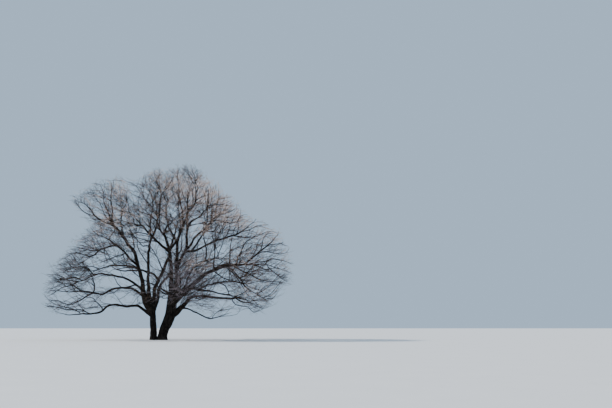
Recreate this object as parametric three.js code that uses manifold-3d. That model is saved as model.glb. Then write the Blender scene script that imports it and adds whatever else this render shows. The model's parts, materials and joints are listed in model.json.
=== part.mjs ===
// A bare winter tree: a broad, domed crown on two stems that rise from one root.
// Millimetres, +Z up, +X to the right as the tree is seen, +Y away from the viewer.
// The origin is the middle of the right stem's flat cut at ground level.
import * as THREE from "three";
import { mergeVertices } from "three/addons/utils/BufferGeometryUtils.js";
import Module from "manifold-3d";

const wasm = await Module();
wasm.setup();

// Gap between a solid and the neighbour that is cut round it.
const SEAM = 0.3;

// Where the tree is seen from: how far back, how far the view tilts up, and where the middle of
// the view lies, across and up from the tree's foot. A route is read as it shows in the view, at
// the stems' distance, and each of its points then moves along its line of sight to its depth.
const EYE_BACK = 85000;
const TILT = (8.17 * Math.PI) / 180;
const VIEW_ACROSS = 14400;
const VIEW_UP = 13600;

// How finely a place on a curve is looked for.
const SEARCH_STEPS = 400;
const SEARCH_HALVINGS = 40;

// Limbs: rings of straight facets, closer together on a short limb.
const RING_STEP = 1340;
const FEWEST_STEPS = 4;
const THIN_LIMB = 210;
const THIN_SIDES = 6;
const THICK_SIDES = 8;
const TAPER_POWER = 0.7;

// Stems: lobed at the foot, where the roots begin.
const STEM_SIDES = 16;
const STEM_RINGS = 13;
const RING_POWER = 1.35;
const FLARE = 0.1;
const FLARE_HEIGHT = 420;
const LOBE_DEPTH = 0.07;
const LOBES = 5;

// Twig masses: uneven lumps, swollen and dented by a few waves.
const LUMP_DETAIL = 2;
const LUMP_SWELL = 0.16;
const LUMP_WAVES = 4;
const LUMP_PITCH = [1.4, 1.1, 1.7];

const BARK = { color: 0x43382f, roughness: 0.95, metalness: 0 };
const PALE_BARK = { color: 0x5b4a3c, roughness: 0.95, metalness: 0 };
const GREY_TWIGS = { color: 0x6d6462, roughness: 1, metalness: 0 };
const TAN_TWIGS = { color: 0x9a7f6b, roughness: 1, metalness: 0 };

// Stem levels: middle as seen (up, across), width as seen, and width from front to back.
const STEMS = [
  {
    name: "right_stem",
    lobeTurn: 0.4,
    levels: [
      [0, 0, 1010, 1010],
      [500, 60, 920, 900],
      [1000, 200, 960, 900],
      [1500, 450, 1080, 940],
      [2000, 660, 1110, 950],
      [2500, 810, 1060, 940],
      [3200, 930, 990, 900],
      [4000, 1060, 1020, 860],
      [4600, 1170, 1130, 820],
    ],
  },
  {
    name: "left_stem",
    lobeTurn: 2.1,
    levels: [
      [0, -865, 690, 720],
      [500, -850, 660, 640],
      [1000, -820, 630, 600],
      [1700, -880, 590, 570],
      [2400, -900, 580, 570],
      [2900, -960, 700, 600],
      [3350, -1040, 980, 640],
      [3750, -1075, 1320, 680],
    ],
  },
];

// Limbs: each springs from one limb or stem, runs through the points where it is seen
// (across, up) and ends where it enters one mass. base and tip are its thickness at the two
// ends of the route, and depth is how far behind (+) or in front (-) of the stems it ends.
const LIMBS = [
  {
    name: "left_leader", from: "left_stem", into: "top_left_twigs",
    base: 430, tip: 90, depth: -500,
    seen: [[-1150, 2900], [-1440, 3600], [-1770, 4500], [-1940, 5500], [-2160, 6500], [-2600, 8000],
      [-2850, 8900], [-3400, 9600], [-4100, 10700], [-4950, 11600], [-5400, 12700], [-5850, 13800],
      [-5800, 15000]],
  },
  {
    name: "middle_leader", from: "left_stem", into: "top_middle_twigs",
    base: 290, tip: 80, depth: 500,
    seen: [[-1100, 3000], [-1200, 3900], [-1300, 4600], [-1370, 6000], [-1400, 7800], [-1300, 9300],
      [-1000, 10250], [-700, 11000], [-470, 11900], [-500, 13000], [-700, 14000], [-600, 15000]],
  },
  {
    name: "inner_leader", from: "left_stem", into: "back_high_twigs",
    base: 350, tip: 90, depth: 5200,
    seen: [[-1000, 3000], [-880, 3900], [-760, 4900], [-560, 5550], [-280, 6150], [20, 6800],
      [290, 7500], [650, 8400], [1100, 10000], [1500, 11500], [1600, 12800]],
  },
  {
    name: "back_leader", from: "left_stem", into: "back_middle_twigs",
    base: 340, tip: 90, depth: 7200,
    seen: [[-850, 2900], [-530, 3700], [-400, 4800], [-110, 5500], [430, 6250], [1100, 6900],
      [2000, 7300]],
  },
  {
    name: "centre_leader", from: "right_stem", into: "front_high_twigs",
    base: 390, tip: 90, depth: -4800,
    seen: [[1050, 4000], [970, 5000], [950, 6500], [850, 7800], [700, 9000], [430, 9900], [170, 10500],
      [-180, 11200], [-280, 12000], [-300, 12900]],
  },
  {
    name: "right_leader", from: "right_stem", into: "top_right_twigs",
    base: 340, tip: 90, depth: 0,
    seen: [[1250, 4000], [1400, 4800], [1450, 6500], [1500, 8200], [1520, 9700], [1900, 10880],
      [2250, 11800], [2580, 12800], [2600, 14200], [2900, 15200]],
  },
  {
    name: "main_right_bough", from: "right_stem", into: "right_middle_twigs",
    base: 470, tip: 100, depth: 0,
    seen: [[1150, 3900], [2100, 4800], [3300, 5700], [4300, 6550], [5300, 7050], [6500, 7450],
      [7800, 7560], [9300, 7550], [10300, 7600], [11800, 7100]],
  },
  {
    name: "low_right_bough", from: "right_stem", into: "right_low_twigs",
    base: 430, tip: 80, depth: 2300,
    seen: [[850, 2300], [1420, 2790], [2250, 3520], [2950, 4260], [4020, 4380], [5490, 4250],
      [6700, 4200], [7660, 4200], [8700, 3950], [9600, 4000]],
  },
  {
    name: "front_bough", from: "right_stem", into: "front_middle_twigs",
    base: 300, tip: 100, depth: -6500,
    seen: [[1000, 3500], [1300, 4150], [1900, 5000], [2600, 5650]],
  },
  {
    name: "lowest_left_bough", from: "left_stem", into: "left_low_twigs",
    base: 240, tip: 70, depth: -1300,
    seen: [[-950, 2300], [-1250, 2600], [-1900, 3080], [-2400, 3430], [-3700, 3400], [-4700, 3500],
      [-5400, 3350], [-6100, 2850], [-6900, 2600], [-8200, 2600], [-9700, 2550], [-10700, 2900]],
  },
  {
    name: "lower_left_bough", from: "left_leader", into: "left_middle_twigs",
    base: 210, tip: 70, depth: 1500,
    seen: [[-1850, 4250], [-2350, 4700], [-2900, 5040], [-3900, 5200], [-5100, 5000], [-5900, 4620],
      [-6600, 4670], [-7400, 4850], [-8200, 4900], [-9700, 4850], [-10900, 4950]],
  },
  {
    name: "front_left_bough", from: "left_leader", into: "front_low_left_twigs",
    base: 200, tip: 80, depth: -5200,
    seen: [[-1950, 5000], [-2800, 5700], [-3800, 6250], [-5200, 6470], [-6200, 6570], [-7000, 6370],
      [-7800, 6020], [-8700, 5750]],
  },
  {
    name: "crossing_bough", from: "inner_leader", into: "back_left_low_twigs",
    base: 190, tip: 70, depth: 6000,
    seen: [[-380, 6050], [-1000, 6650], [-2100, 7000], [-2800, 7350], [-4200, 7400], [-5200, 7450],
      [-6000, 7150], [-7000, 6950], [-7700, 7050], [-8400, 7300]],
  },
  {
    name: "upper_left_bough", from: "left_leader", into: "front_left_twigs",
    base: 210, tip: 80, depth: -5200,
    seen: [[-2450, 7400], [-3200, 8200], [-4000, 9000], [-4800, 9600], [-5800, 10300], [-6500, 10500]],
  },
  {
    name: "left_high_bough", from: "upper_left_bough", into: "left_high_twigs",
    base: 160, tip: 80, depth: -300,
    seen: [[-4600, 9450], [-5400, 9300], [-6200, 9000], [-7000, 8400], [-7900, 8150]],
  },
  {
    name: "back_left_bough", from: "left_leader", into: "back_left_twigs",
    base: 170, tip: 80, depth: 5600,
    seen: [[-3900, 10400], [-4050, 11300], [-4100, 12000], [-3900, 12600]],
  },
  {
    name: "upper_left_fork", from: "left_leader", into: "upper_left_twigs",
    base: 160, tip: 70, depth: 0,
    seen: [[-4900, 11500], [-5800, 11800], [-6600, 12300], [-7300, 13200], [-8200, 14000]],
  },
  {
    name: "long_diagonal", from: "centre_leader", into: "front_upper_left_twigs",
    base: 220, tip: 80, depth: -5200,
    seen: [[700, 8850], [-210, 9600], [-900, 10300], [-1560, 11000], [-1940, 11400], [-2600, 11450],
      [-3400, 11750], [-4300, 12000]],
  },
  {
    name: "centre_fork", from: "centre_leader", into: "top_middle_twigs",
    base: 210, tip: 90, depth: -900,
    seen: [[760, 9000], [1260, 9700], [1350, 10050], [1000, 10700], [680, 11270], [490, 12040],
      [430, 13200], [460, 14300]],
  },
  {
    name: "upper_right_bough", from: "right_leader", into: "front_upper_right_twigs",
    base: 280, tip: 100, depth: -4600,
    seen: [[1480, 7300], [2030, 8450], [2380, 9030], [2500, 10000], [2580, 11200], [3060, 11900],
      [3830, 12360], [4530, 12740]],
  },
  {
    name: "upper_right_fork", from: "upper_right_bough", into: "upper_right_twigs",
    base: 200, tip: 80, depth: 200,
    seen: [[2400, 9100], [2860, 9470], [3310, 10240], [4170, 11010], [4780, 11680], [5390, 12290],
      [6000, 12760], [6900, 13000]],
  },
  {
    name: "right_high_bough", from: "upper_right_bough", into: "right_high_twigs",
    base: 190, tip: 80, depth: 500,
    seen: [[2300, 8850], [3380, 8960], [4270, 9350], [5490, 9990], [6700, 10300], [7800, 10750],
      [8600, 11300], [9400, 12100]],
  },
  {
    name: "back_right_riser", from: "right_high_bough", into: "back_upper_right_twigs",
    base: 180, tip: 80, depth: 5400,
    seen: [[2950, 8930], [3510, 9670], [4150, 10630], [4720, 11080], [5500, 11300]],
  },
  {
    name: "outer_right_fork", from: "main_right_bough", into: "right_high_twigs",
    base: 160, tip: 80, depth: -1000,
    seen: [[8200, 7550], [9020, 8180], [9900, 8920], [10640, 9530], [11580, 10540]],
  },
  {
    name: "arched_bough", from: "main_right_bough", into: "front_right_twigs",
    base: 190, tip: 80, depth: -5600,
    seen: [[2300, 4950], [2500, 6000], [2900, 6900], [3600, 7500], [4500, 8000], [5400, 8180],
      [6500, 7700]],
  },
  {
    name: "right_low_fork", from: "main_right_bough", into: "right_low_twigs",
    base: 180, tip: 70, depth: -900,
    seen: [[2200, 4870], [2980, 5150], [3760, 5020], [4450, 4980], [5490, 4720], [6960, 4420],
      [8300, 4200]],
  },
  {
    name: "back_right_bough", from: "right_low_fork", into: "back_right_low_twigs",
    base: 160, tip: 80, depth: 6200,
    seen: [[3600, 5050], [4630, 5500], [5490, 5720], [7050, 5860], [7920, 5670], [8400, 5200]],
  },
  {
    name: "lowest_right_bough", from: "low_right_bough", into: "right_skirt_twigs",
    base: 140, tip: 60, depth: -2200,
    seen: [[1900, 3220], [2350, 3160], [3160, 2900], [4020, 2470], [4890, 2120], [5900, 2470],
      [7000, 2750]],
  },
];

// Twig masses: middle as seen (across, up) and its depth, and the half sizes across, deep and up.
const MASSES = [
  {
    name: "top_middle_twigs", at: [-450, 15600, 600], half: [2300, 3500, 2000],
    wave: 1.0, sunny: true,
  },
  {
    name: "top_left_twigs", at: [-5300, 14800, 900], half: [2550, 3500, 1600],
    wave: 2.3, sunny: true,
  },
  {
    name: "top_right_twigs", at: [3400, 15400, -700], half: [2050, 3400, 2150],
    wave: 3.1, sunny: true,
  },
  {
    name: "upper_left_twigs", at: [-7400, 12400, -600], half: [2050, 3400, 1900],
    wave: 4.4, sunny: true,
  },
  {
    name: "upper_right_twigs", at: [6400, 13100, 500], half: [2300, 3400, 2150],
    wave: 5.2, sunny: true,
  },
  { name: "left_high_twigs", at: [-8200, 8400, 300], half: [2500, 3500, 1500], wave: 6.7 },
  {
    name: "right_high_twigs", at: [9900, 10200, 700], half: [2650, 3600, 1750],
    wave: 7.1, sunny: true,
  },
  { name: "left_middle_twigs", at: [-9400, 5400, 1300], half: [2700, 3400, 1300], wave: 8.8 },
  {
    name: "right_middle_twigs", at: [11000, 7000, -500], half: [2400, 3600, 1450],
    wave: 9.5, sunny: true,
  },
  { name: "left_low_twigs", at: [-9200, 3150, -1000], half: [3200, 3200, 950], wave: 10.2 },
  {
    name: "right_low_twigs", at: [9600, 4000, 800], half: [2350, 3300, 1200],
    wave: 11.9, sunny: true,
  },
  { name: "right_skirt_twigs", at: [5900, 2900, -1900], half: [1800, 2300, 780], wave: 12.6 },
  { name: "front_high_twigs", at: [-400, 11800, -5700], half: [2450, 2700, 2200], wave: 13.3 },
  {
    name: "front_upper_left_twigs", at: [-4000, 13100, -5000], half: [2300, 2500, 2000],
    wave: 14.9,
  },
  {
    name: "front_upper_right_twigs", at: [4300, 11800, -5500], half: [2300, 2700, 2050],
    wave: 15.4,
  },
  { name: "front_left_twigs", at: [-5400, 9400, -6200], half: [2550, 2500, 2050], wave: 16.1 },
  { name: "front_right_twigs", at: [7400, 7400, -6300], half: [2450, 2700, 1650], wave: 17.7 },
  { name: "front_middle_twigs", at: [2800, 5900, -7000], half: [2550, 2900, 1800], wave: 18.2 },
  { name: "front_low_left_twigs", at: [-8400, 6200, -5500], half: [2050, 2700, 1600], wave: 19.8 },
  {
    name: "back_high_twigs", at: [1500, 13300, 5400], half: [2450, 2700, 2200],
    wave: 20.5, sunny: true,
  },
  { name: "back_left_twigs", at: [-4200, 11800, 6200], half: [2450, 2600, 2100], wave: 21.6 },
  {
    name: "back_upper_right_twigs", at: [5900, 10800, 5800], half: [2450, 2700, 1950],
    wave: 22.4, sunny: true,
  },
  { name: "back_left_low_twigs", at: [-8000, 7200, 6100], half: [2450, 2600, 1750], wave: 23.3 },
  {
    name: "back_right_low_twigs", at: [7000, 6400, 6700], half: [2450, 2700, 1600],
    wave: 24.8, sunny: true,
  },
  { name: "back_middle_twigs", at: [2500, 7400, 7700], half: [2600, 2600, 1950], wave: 25.1 },
];

// The line of sight to what is seen at (across, up), for one step along the view's middle line.
function sightLine(across, up) {
  const right = (across - VIEW_ACROSS) / EYE_BACK;
  const raised = (up - VIEW_UP) / EYE_BACK;
  return new THREE.Vector3(
    right,
    Math.cos(TILT) - raised * Math.sin(TILT),
    Math.sin(TILT) + raised * Math.cos(TILT),
  );
}

// The eye, placed so that the tree's foot is at the origin.
const towardsFoot = sightLine(0, 0);
const eye = towardsFoot.multiplyScalar(-EYE_BACK / towardsFoot.y);

// A point seen at (across, up), at the depth given along its line of sight.
function alongSight(across, up, depth) {
  const line = sightLine(across, up);
  return line.multiplyScalar((EYE_BACK + depth) / line.y).add(eye);
}

// Where a point is seen (across, up).
function asSeen(point) {
  const away = point.clone().sub(eye);
  const ahead = away.y * Math.cos(TILT) + away.z * Math.sin(TILT);
  const raised = away.z * Math.cos(TILT) - away.y * Math.sin(TILT);
  return [VIEW_ACROSS + (EYE_BACK * away.x) / ahead, VIEW_UP + (EYE_BACK * raised) / ahead];
}

// Closed geometry from rings of equal length, with a fan over each end.
function closeRings(rings) {
  const sides = rings[0].length;
  const points = rings.flat();
  const index = [];
  for (let ring = 0; ring + 1 < rings.length; ring += 1) {
    for (let side = 0; side < sides; side += 1) {
      const near = ring * sides + side;
      const next = ring * sides + ((side + 1) % sides);
      index.push(near, next, next + sides, near, next + sides, near + sides);
    }
  }
  const top = (rings.length - 1) * sides;
  for (let side = 1; side + 1 < sides; side += 1) {
    index.push(0, side + 1, side);
    index.push(top, top + side, top + side + 1);
  }
  const geometry = new THREE.BufferGeometry().setFromPoints(points);
  geometry.setIndex(index);
  return geometry;
}

// The curve that a stem's middle follows, and its half widths, by height.
function stemShape(stem) {
  const middles = stem.levels.map(([up, across]) => alongSight(across, up, 0));
  const halves = stem.levels.map(([, , wide, deep], level) => (
    new THREE.Vector3(wide / 2, deep / 2, middles[level].z)
  ));
  return {
    curve: new THREE.CatmullRomCurve3(middles),
    halves: new THREE.CatmullRomCurve3(halves),
    top: middles[middles.length - 1].z,
  };
}

// Where a curve that climbs all the way reaches a height.
function atHeight(curve, height) {
  let low = 0;
  let high = 1;
  for (let halving = 0; halving < SEARCH_HALVINGS; halving += 1) {
    const middle = (low + high) / 2;
    if (curve.getPoint(middle).z < height) low = middle;
    else high = middle;
  }
  return curve.getPoint((low + high) / 2);
}

function stemGeometry(stem, extra) {
  const { curve, halves, top } = stemShape(stem);
  const rings = [];
  for (let ring = 0; ring < STEM_RINGS; ring += 1) {
    const height = top * (ring / (STEM_RINGS - 1)) ** RING_POWER;
    const middle = atHeight(curve, height);
    const half = atHeight(halves, height);
    const fade = Math.exp(-height / FLARE_HEIGHT);
    const lift = ring === STEM_RINGS - 1 ? extra : 0;
    const points = [];
    for (let side = 0; side < STEM_SIDES; side += 1) {
      const angle = (side / STEM_SIDES) * 2 * Math.PI;
      const lobe = LOBE_DEPTH * Math.cos(LOBES * angle + stem.lobeTurn);
      const swell = 1 + fade * (FLARE + lobe);
      points.push(new THREE.Vector3(
        middle.x + (half.x * swell + extra) * Math.cos(angle),
        middle.y + (half.y * swell + extra) * Math.sin(angle),
        height + lift,
      ));
    }
    rings.push(points);
  }
  return closeRings(rings);
}

// The point of a curve that is seen nearest to (across, up).
function nearestSeen(curve, across, up) {
  let best = null;
  let least = Infinity;
  for (let step = 0; step <= SEARCH_STEPS; step += 1) {
    const point = curve.getPoint(step / SEARCH_STEPS);
    const [seenAcross, seenUp] = asSeen(point);
    const distance = Math.hypot(seenAcross - across, seenUp - up);
    if (distance < least) {
      least = distance;
      best = point;
    }
  }
  return best;
}

// A limb's curve: it starts on its parent's middle line and drifts evenly to its end depth.
function limbCurve(limb, parent) {
  const start = nearestSeen(parent, ...limb.seen[0]);
  const lengths = [0];
  for (let step = 1; step < limb.seen.length; step += 1) {
    const [ax, ay] = limb.seen[step - 1];
    const [bx, by] = limb.seen[step];
    lengths.push(lengths[step - 1] + Math.hypot(bx - ax, by - ay));
  }
  const whole = lengths[lengths.length - 1];
  const points = limb.seen.map(([across, up], step) => {
    const depth = start.y + (limb.depth - start.y) * (lengths[step] / whole);
    return alongSight(across, up, depth);
  });
  points[0] = start;
  return new THREE.CatmullRomCurve3(points);
}

function limbGeometry(limb, curve, extra) {
  const steps = Math.max(FEWEST_STEPS, Math.round(curve.getLength() / RING_STEP));
  const sides = limb.base < THIN_LIMB ? THIN_SIDES : THICK_SIDES;
  const frames = curve.computeFrenetFrames(steps, false);
  const rings = [];
  for (let step = 0; step <= steps; step += 1) {
    const share = step / steps;
    const middle = curve.getPointAt(share);
    const radius = (limb.tip + (limb.base - limb.tip) * (1 - share) ** TAPER_POWER) / 2 + extra;
    if (step === steps) middle.addScaledVector(frames.tangents[step], extra);
    const ring = [];
    for (let side = 0; side < sides; side += 1) {
      const angle = (side / sides) * 2 * Math.PI;
      ring.push(middle.clone()
        .addScaledVector(frames.normals[step], radius * Math.cos(angle))
        .addScaledVector(frames.binormals[step], radius * Math.sin(angle)));
    }
    rings.push(ring);
  }
  return closeRings(rings);
}

// An uneven lump: a sphere of small facets, pushed in and out by a few waves.
function massGeometry(mass, extra) {
  const geometry = new THREE.IcosahedronGeometry(1, LUMP_DETAIL);
  const middle = alongSight(...mass.at);
  const place = geometry.attributes.position;
  const way = new THREE.Vector3();
  for (let corner = 0; corner < place.count; corner += 1) {
    way.fromBufferAttribute(place, corner);
    let swell = 0;
    for (let wave = 1; wave <= LUMP_WAVES; wave += 1) {
      const turn = mass.wave * wave;
      const across = Math.sin((LUMP_PITCH[0] + wave) * way.x + turn);
      const deep = Math.cos((LUMP_PITCH[1] + wave) * way.y - turn);
      const up = Math.sin((LUMP_PITCH[2] + wave) * way.z + 2 * turn);
      swell += across * deep * up;
    }
    const size = 1 + LUMP_SWELL * swell;
    place.setXYZ(
      corner,
      middle.x + way.x * (mass.half[0] * size + 2 * extra),
      middle.y + way.y * (mass.half[1] * size + 2 * extra),
      middle.z + way.z * (mass.half[2] * size + 2 * extra),
    );
  }
  return geometry;
}

function toSolid(geometry) {
  const bare = geometry.clone();
  bare.deleteAttribute("normal");
  bare.deleteAttribute("uv");
  const merged = mergeVertices(bare);
  return new wasm.Manifold(new wasm.Mesh({
    numProp: 3,
    vertProperties: new Float32Array(merged.attributes.position.array),
    triVerts: new Uint32Array(merged.index.array),
  }));
}

function toGeometry(solid) {
  const mesh = solid.getMesh();
  const geometry = new THREE.BufferGeometry();
  geometry.setAttribute("position", new THREE.BufferAttribute(mesh.vertProperties, 3));
  geometry.setIndex(new THREE.BufferAttribute(mesh.triVerts, 1));
  geometry.computeVertexNormals();
  return geometry;
}

function boxesMeet(one, other) {
  const a = one.boundingBox();
  const b = other.boundingBox();
  return [0, 1, 2].every((axis) => a.min[axis] < b.max[axis] && b.min[axis] < a.max[axis]);
}

// A solid with its neighbours cut away, as one body: the largest that is left.
function cutRound(solid, neighbours) {
  const near = neighbours.filter((other) => boxesMeet(solid, other));
  const left = near.reduce((rest, other) => rest.subtract(other), solid);
  const bodies = left.decompose();
  return bodies.reduce((largest, body) => (body.volume() > largest.volume() ? body : largest));
}

const group = new THREE.Group();

function addNode(name, solid, finish) {
  const mesh = new THREE.Mesh(toGeometry(solid), new THREE.MeshStandardMaterial(finish));
  mesh.name = name;
  group.add(mesh);
}

// Every solid a little oversize, which is what its neighbours are cut with.
const oversize = new Map();
const curves = new Map();
for (const stem of STEMS) {
  curves.set(stem.name, stemShape(stem).curve);
  oversize.set(stem.name, toSolid(stemGeometry(stem, SEAM)));
}
for (const mass of MASSES) {
  oversize.set(mass.name, toSolid(massGeometry(mass, SEAM)));
}

const made = [];
for (const stem of STEMS) {
  const solid = cutRound(toSolid(stemGeometry(stem, 0)), made.map((name) => oversize.get(name)));
  addNode(stem.name, solid, BARK);
  made.push(stem.name);
}
for (const limb of LIMBS) {
  const curve = limbCurve(limb, curves.get(limb.from));
  const cutters = [...made, limb.into].map((name) => oversize.get(name));
  addNode(limb.name, cutRound(toSolid(limbGeometry(limb, curve, 0)), cutters), PALE_BARK);
  curves.set(limb.name, curve);
  oversize.set(limb.name, toSolid(limbGeometry(limb, curve, SEAM)));
  made.push(limb.name);
}
for (const mass of MASSES) {
  const feeders = new Set(LIMBS.filter((limb) => limb.into === mass.name).map((limb) => limb.name));
  const cutters = made.filter((name) => !feeders.has(name)).map((name) => oversize.get(name));
  const solid = cutRound(toSolid(massGeometry(mass, 0)), cutters);
  addNode(mass.name, solid, mass.sunny ? TAN_TWIGS : GREY_TWIGS);
  made.push(mass.name);
}

export default group;
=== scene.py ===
"""A bare winter tree: two furrowed stems, tapering boughs, and the twigs that grow on from them.

Metres, +Z up, +X to the right as the tree is seen, +Y away from the viewer. The origin is the
middle of the right stem's flat cut at ground level.
"""
import json
import math

import bpy
import numpy as np
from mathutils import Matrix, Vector
from mathutils.bvhtree import BVHTree
from mathutils.kdtree import KDTree

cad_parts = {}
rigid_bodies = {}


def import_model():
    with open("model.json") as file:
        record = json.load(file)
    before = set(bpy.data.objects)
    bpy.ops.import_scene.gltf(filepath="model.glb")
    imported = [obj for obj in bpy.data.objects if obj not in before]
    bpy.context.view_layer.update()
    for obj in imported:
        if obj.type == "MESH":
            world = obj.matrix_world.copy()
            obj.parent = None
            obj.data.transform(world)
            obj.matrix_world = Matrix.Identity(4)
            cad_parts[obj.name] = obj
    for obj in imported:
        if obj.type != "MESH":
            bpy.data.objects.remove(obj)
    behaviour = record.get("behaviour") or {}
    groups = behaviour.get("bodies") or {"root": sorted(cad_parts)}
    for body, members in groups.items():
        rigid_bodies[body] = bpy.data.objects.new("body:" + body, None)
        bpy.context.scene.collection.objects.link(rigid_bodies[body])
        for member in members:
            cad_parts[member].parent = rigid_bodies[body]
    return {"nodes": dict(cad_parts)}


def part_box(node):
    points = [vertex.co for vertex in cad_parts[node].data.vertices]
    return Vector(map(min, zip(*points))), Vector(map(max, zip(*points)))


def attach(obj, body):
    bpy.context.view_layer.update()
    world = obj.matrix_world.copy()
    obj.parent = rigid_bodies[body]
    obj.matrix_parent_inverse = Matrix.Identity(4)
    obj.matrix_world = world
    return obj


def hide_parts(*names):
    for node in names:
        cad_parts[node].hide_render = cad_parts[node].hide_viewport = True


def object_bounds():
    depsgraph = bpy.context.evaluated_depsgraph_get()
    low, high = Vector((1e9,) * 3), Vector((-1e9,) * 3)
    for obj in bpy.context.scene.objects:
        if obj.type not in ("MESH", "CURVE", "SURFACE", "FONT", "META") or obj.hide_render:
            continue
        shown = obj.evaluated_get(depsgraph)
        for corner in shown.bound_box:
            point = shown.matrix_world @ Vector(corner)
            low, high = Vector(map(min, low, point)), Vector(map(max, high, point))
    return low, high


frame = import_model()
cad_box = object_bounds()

# Seeds: the growth, the crooks of limbs and of lesser limbs, their bark, and the ragged outline.
SEED = 11
LIMB_SEED = 100
SHOOT_SEED = 500
BARK_SEED = 300
RAGGED_SEED = 5
random = np.random.default_rng(SEED)

# Where the tree is seen from: how far back, how far the view tilts up, and where the middle of
# the view lies, across and up from the tree's foot. A route is read as it shows in the view, at
# the stems' distance, and each of its points then moves along its line of sight to its depth.
EYE_BACK = 85.0
TILT = math.radians(8.17)
VIEW_ACROSS = 14.4
VIEW_UP = 13.6

# The photograph's frame and lens, in pixels.
PHOTO_WIDTH = 612
LENS_PIXELS = 850
SENSOR_MM = 36.0

# Stems: their mesh, the flare and lobes of the foot, and the low dome that closes the crotch.
STEM_SIDES = 100
STEM_RING_STEP = 0.038
FLARE = 0.1
FLARE_HEIGHT = 0.42
LOBE_DEPTH = 0.07
LOBES = 5
CROTCH_RISE = 0.42
CROTCH_RINGS = 10
CROTCH_INSIDE = CROTCH_RISE * 0.3

# Boughs: how they thin along their length, and the collar where they leave their parent, as the
# share it adds and how far it reaches in half thicknesses of the parent.
TAPER_POWER = 0.7
FULLER = 1.12
LESSER_FULLER = 1.3
THIN_FROM = 0.65
THIN_TIP = 0.4
BOUGH_RING_STEP = 0.1
BOUGH_SIDES = [(0.15, 28), (0.095, 20), (0.0, 16)]
COLLAR = (0.38, 1.0)
CROTCH_COLLAR = (0.75, 1.8)
COLLAR_LEAST = 0.05
STEM_HALF = 0.45
DEEP_IN_STEM = STEM_HALF * 1.5

# Crooks of a limb: how far it strays, over what length they set in, and for each kind its bends to
# the metre, its weight, and how its seeds step from axis to axis and where they start.
CROOK = 0.055
CROOK_FROM = 1.2
CROOK_BENDS = [(1.3, 1.0, 7, 0), (3.1, 0.5, 5, 50)]

# How finely a limb's line is cut, how many such steps part the places looked at on a parent and
# the joints that twigs grow from, and how far from +Y a limb starts if +Y gives its sides.
FINE_STEP = 0.04
CURVE_STEPS = 60
LOOK_EVERY = 3
JOINT_EVERY = 8
LEAST_CROSS = 0.3

# Bark relief: lumps to the metre, two ways across the limb and one along it, then shares and heights.
WANDER_LUMPS = [3.1, 3.1, 2.0]
RIDGE_LUMPS = [9.5, 9.5, 2.1]
BREAK_LUMPS = [13.0, 13.0, 6.5]
GRIT_LUMPS = [30.0, 30.0, 16.0]
STEM_LUMPS = [2.6, 2.6, 1.1]
KNOT_LUMPS = [6.0, 6.0, 1.7]
RIDGE_WANDER = 0.7
RIDGE_STEEPNESS = 3.2
BREAKS = (0.45, 2.2)
GRIT = 0.22
HALF_RELIEF = 0.6
STEM_FURROW = 0.034
STEM_BULGE = 0.035
BOUGH_FURROW = (0.007, 0.055)
BOUGH_KNOT = 0.09

# Growth of the branches inside each mass. The middle and right of the crown grow denser.
DRAW_PER_CUBIC_METRE = 12.6
DENSE = {
    "top_middle_twigs": 3.2, "top_right_twigs": 2.5, "upper_left_twigs": 0.7, "upper_right_twigs": 1.9,
    "right_high_twigs": 1.1, "right_middle_twigs": 1.15, "right_low_twigs": 1.5, "right_skirt_twigs": 1.2,
    "left_high_twigs": 0.7, "left_middle_twigs": 0.8, "front_high_twigs": 2.8, "back_high_twigs": 2.6,
    "front_upper_left_twigs": 1.4, "front_upper_right_twigs": 1.8, "back_upper_right_twigs": 1.7,
    "front_left_twigs": 1.2, "back_left_twigs": 1.2, "front_right_twigs": 2.0, "front_middle_twigs": 2.9,
    "back_middle_twigs": 2.8, "front_low_left_twigs": 0.8, "back_left_low_twigs": 0.8,
    "back_right_low_twigs": 2.2,
}
SOFT_EDGE = 0.42
SOFT_REACH = SOFT_EDGE * 1.5
OUTSIDE_SHARE = 0.5
GAP_SHARE = 0.3
GAP_EDGE = (0.8, 1.15)
OUTLINE_FADE = (-0.3, 0.3)
RAGGED = 0.5
RAGGED_LUMPS = 0.85
GOAL_INSET = 0.4
INNER_PER_CUBIC_METRE = 1.5
INNER_MIDDLE = np.array([0.6, 0.0, 4.0])
INNER_HALF = np.array([11.5, 8.6, 12.0])
LIMB_GOALS = 1.1
LIMB_GOAL_REACH = (0.5, 1.3)
LOWEST_TWIG = 1.95
LOWEST_INNER = LOWEST_TWIG * 1.6
LOWEST_JOINT = LOWEST_TWIG * 1.3
LOWEST_SIDE_GOAL = LOWEST_TWIG * 1.1
LOWEST_SHOOT = LOWEST_TWIG * 0.94
STEM_CLEAR = 1.15
STEM_LOOK_EVERY = 6

# Coarse branches grow first, towards every ninth goal: step, reach and how near they have to come.
COARSE_EVERY = 9
COARSE_GROWTH = (0.3, 3.2, 0.85)
FINE_GROWTH = (0.27, 1.5, 0.37)
MOST_ROUNDS = 90
MOST_CHILDREN = 3
MOMENTUM = 0.8
OUTWARD = 0.3
LEAST_OUTWARD = 0.55
WAVER = 0.26
LIFT = 0.07
FREE_HEART = 2.0
SIDE_TURN = 0.1
TIP_TURN = 0.4
CLOSEST = 0.45
ARRIVED = 0.7
GIVE_UP = 0.35
EASING_ROUNDS = 2

# Thickness of the grown branches, summed from the twigs down.
TWIG_TIP = 0.006
PIPE_POWER = 1.85
SLOWEST_TAPER = 0.84
LEAST_TAPER = 0.93
THICK_BRANCH = 0.024
DARK_BRANCH = 0.011
BRANCH_BASE = (0.8, 1.25)
BRANCH_SIDES = 8
TWIG_SIDES = 3

# Where the crown spreads from, and how much flatter it spreads than a ball.
CROWN_HEART = np.array([0.8, 0.0, 3.5])
CROWN_SPREAD = [1.0, 1.0, 0.6]

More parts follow.
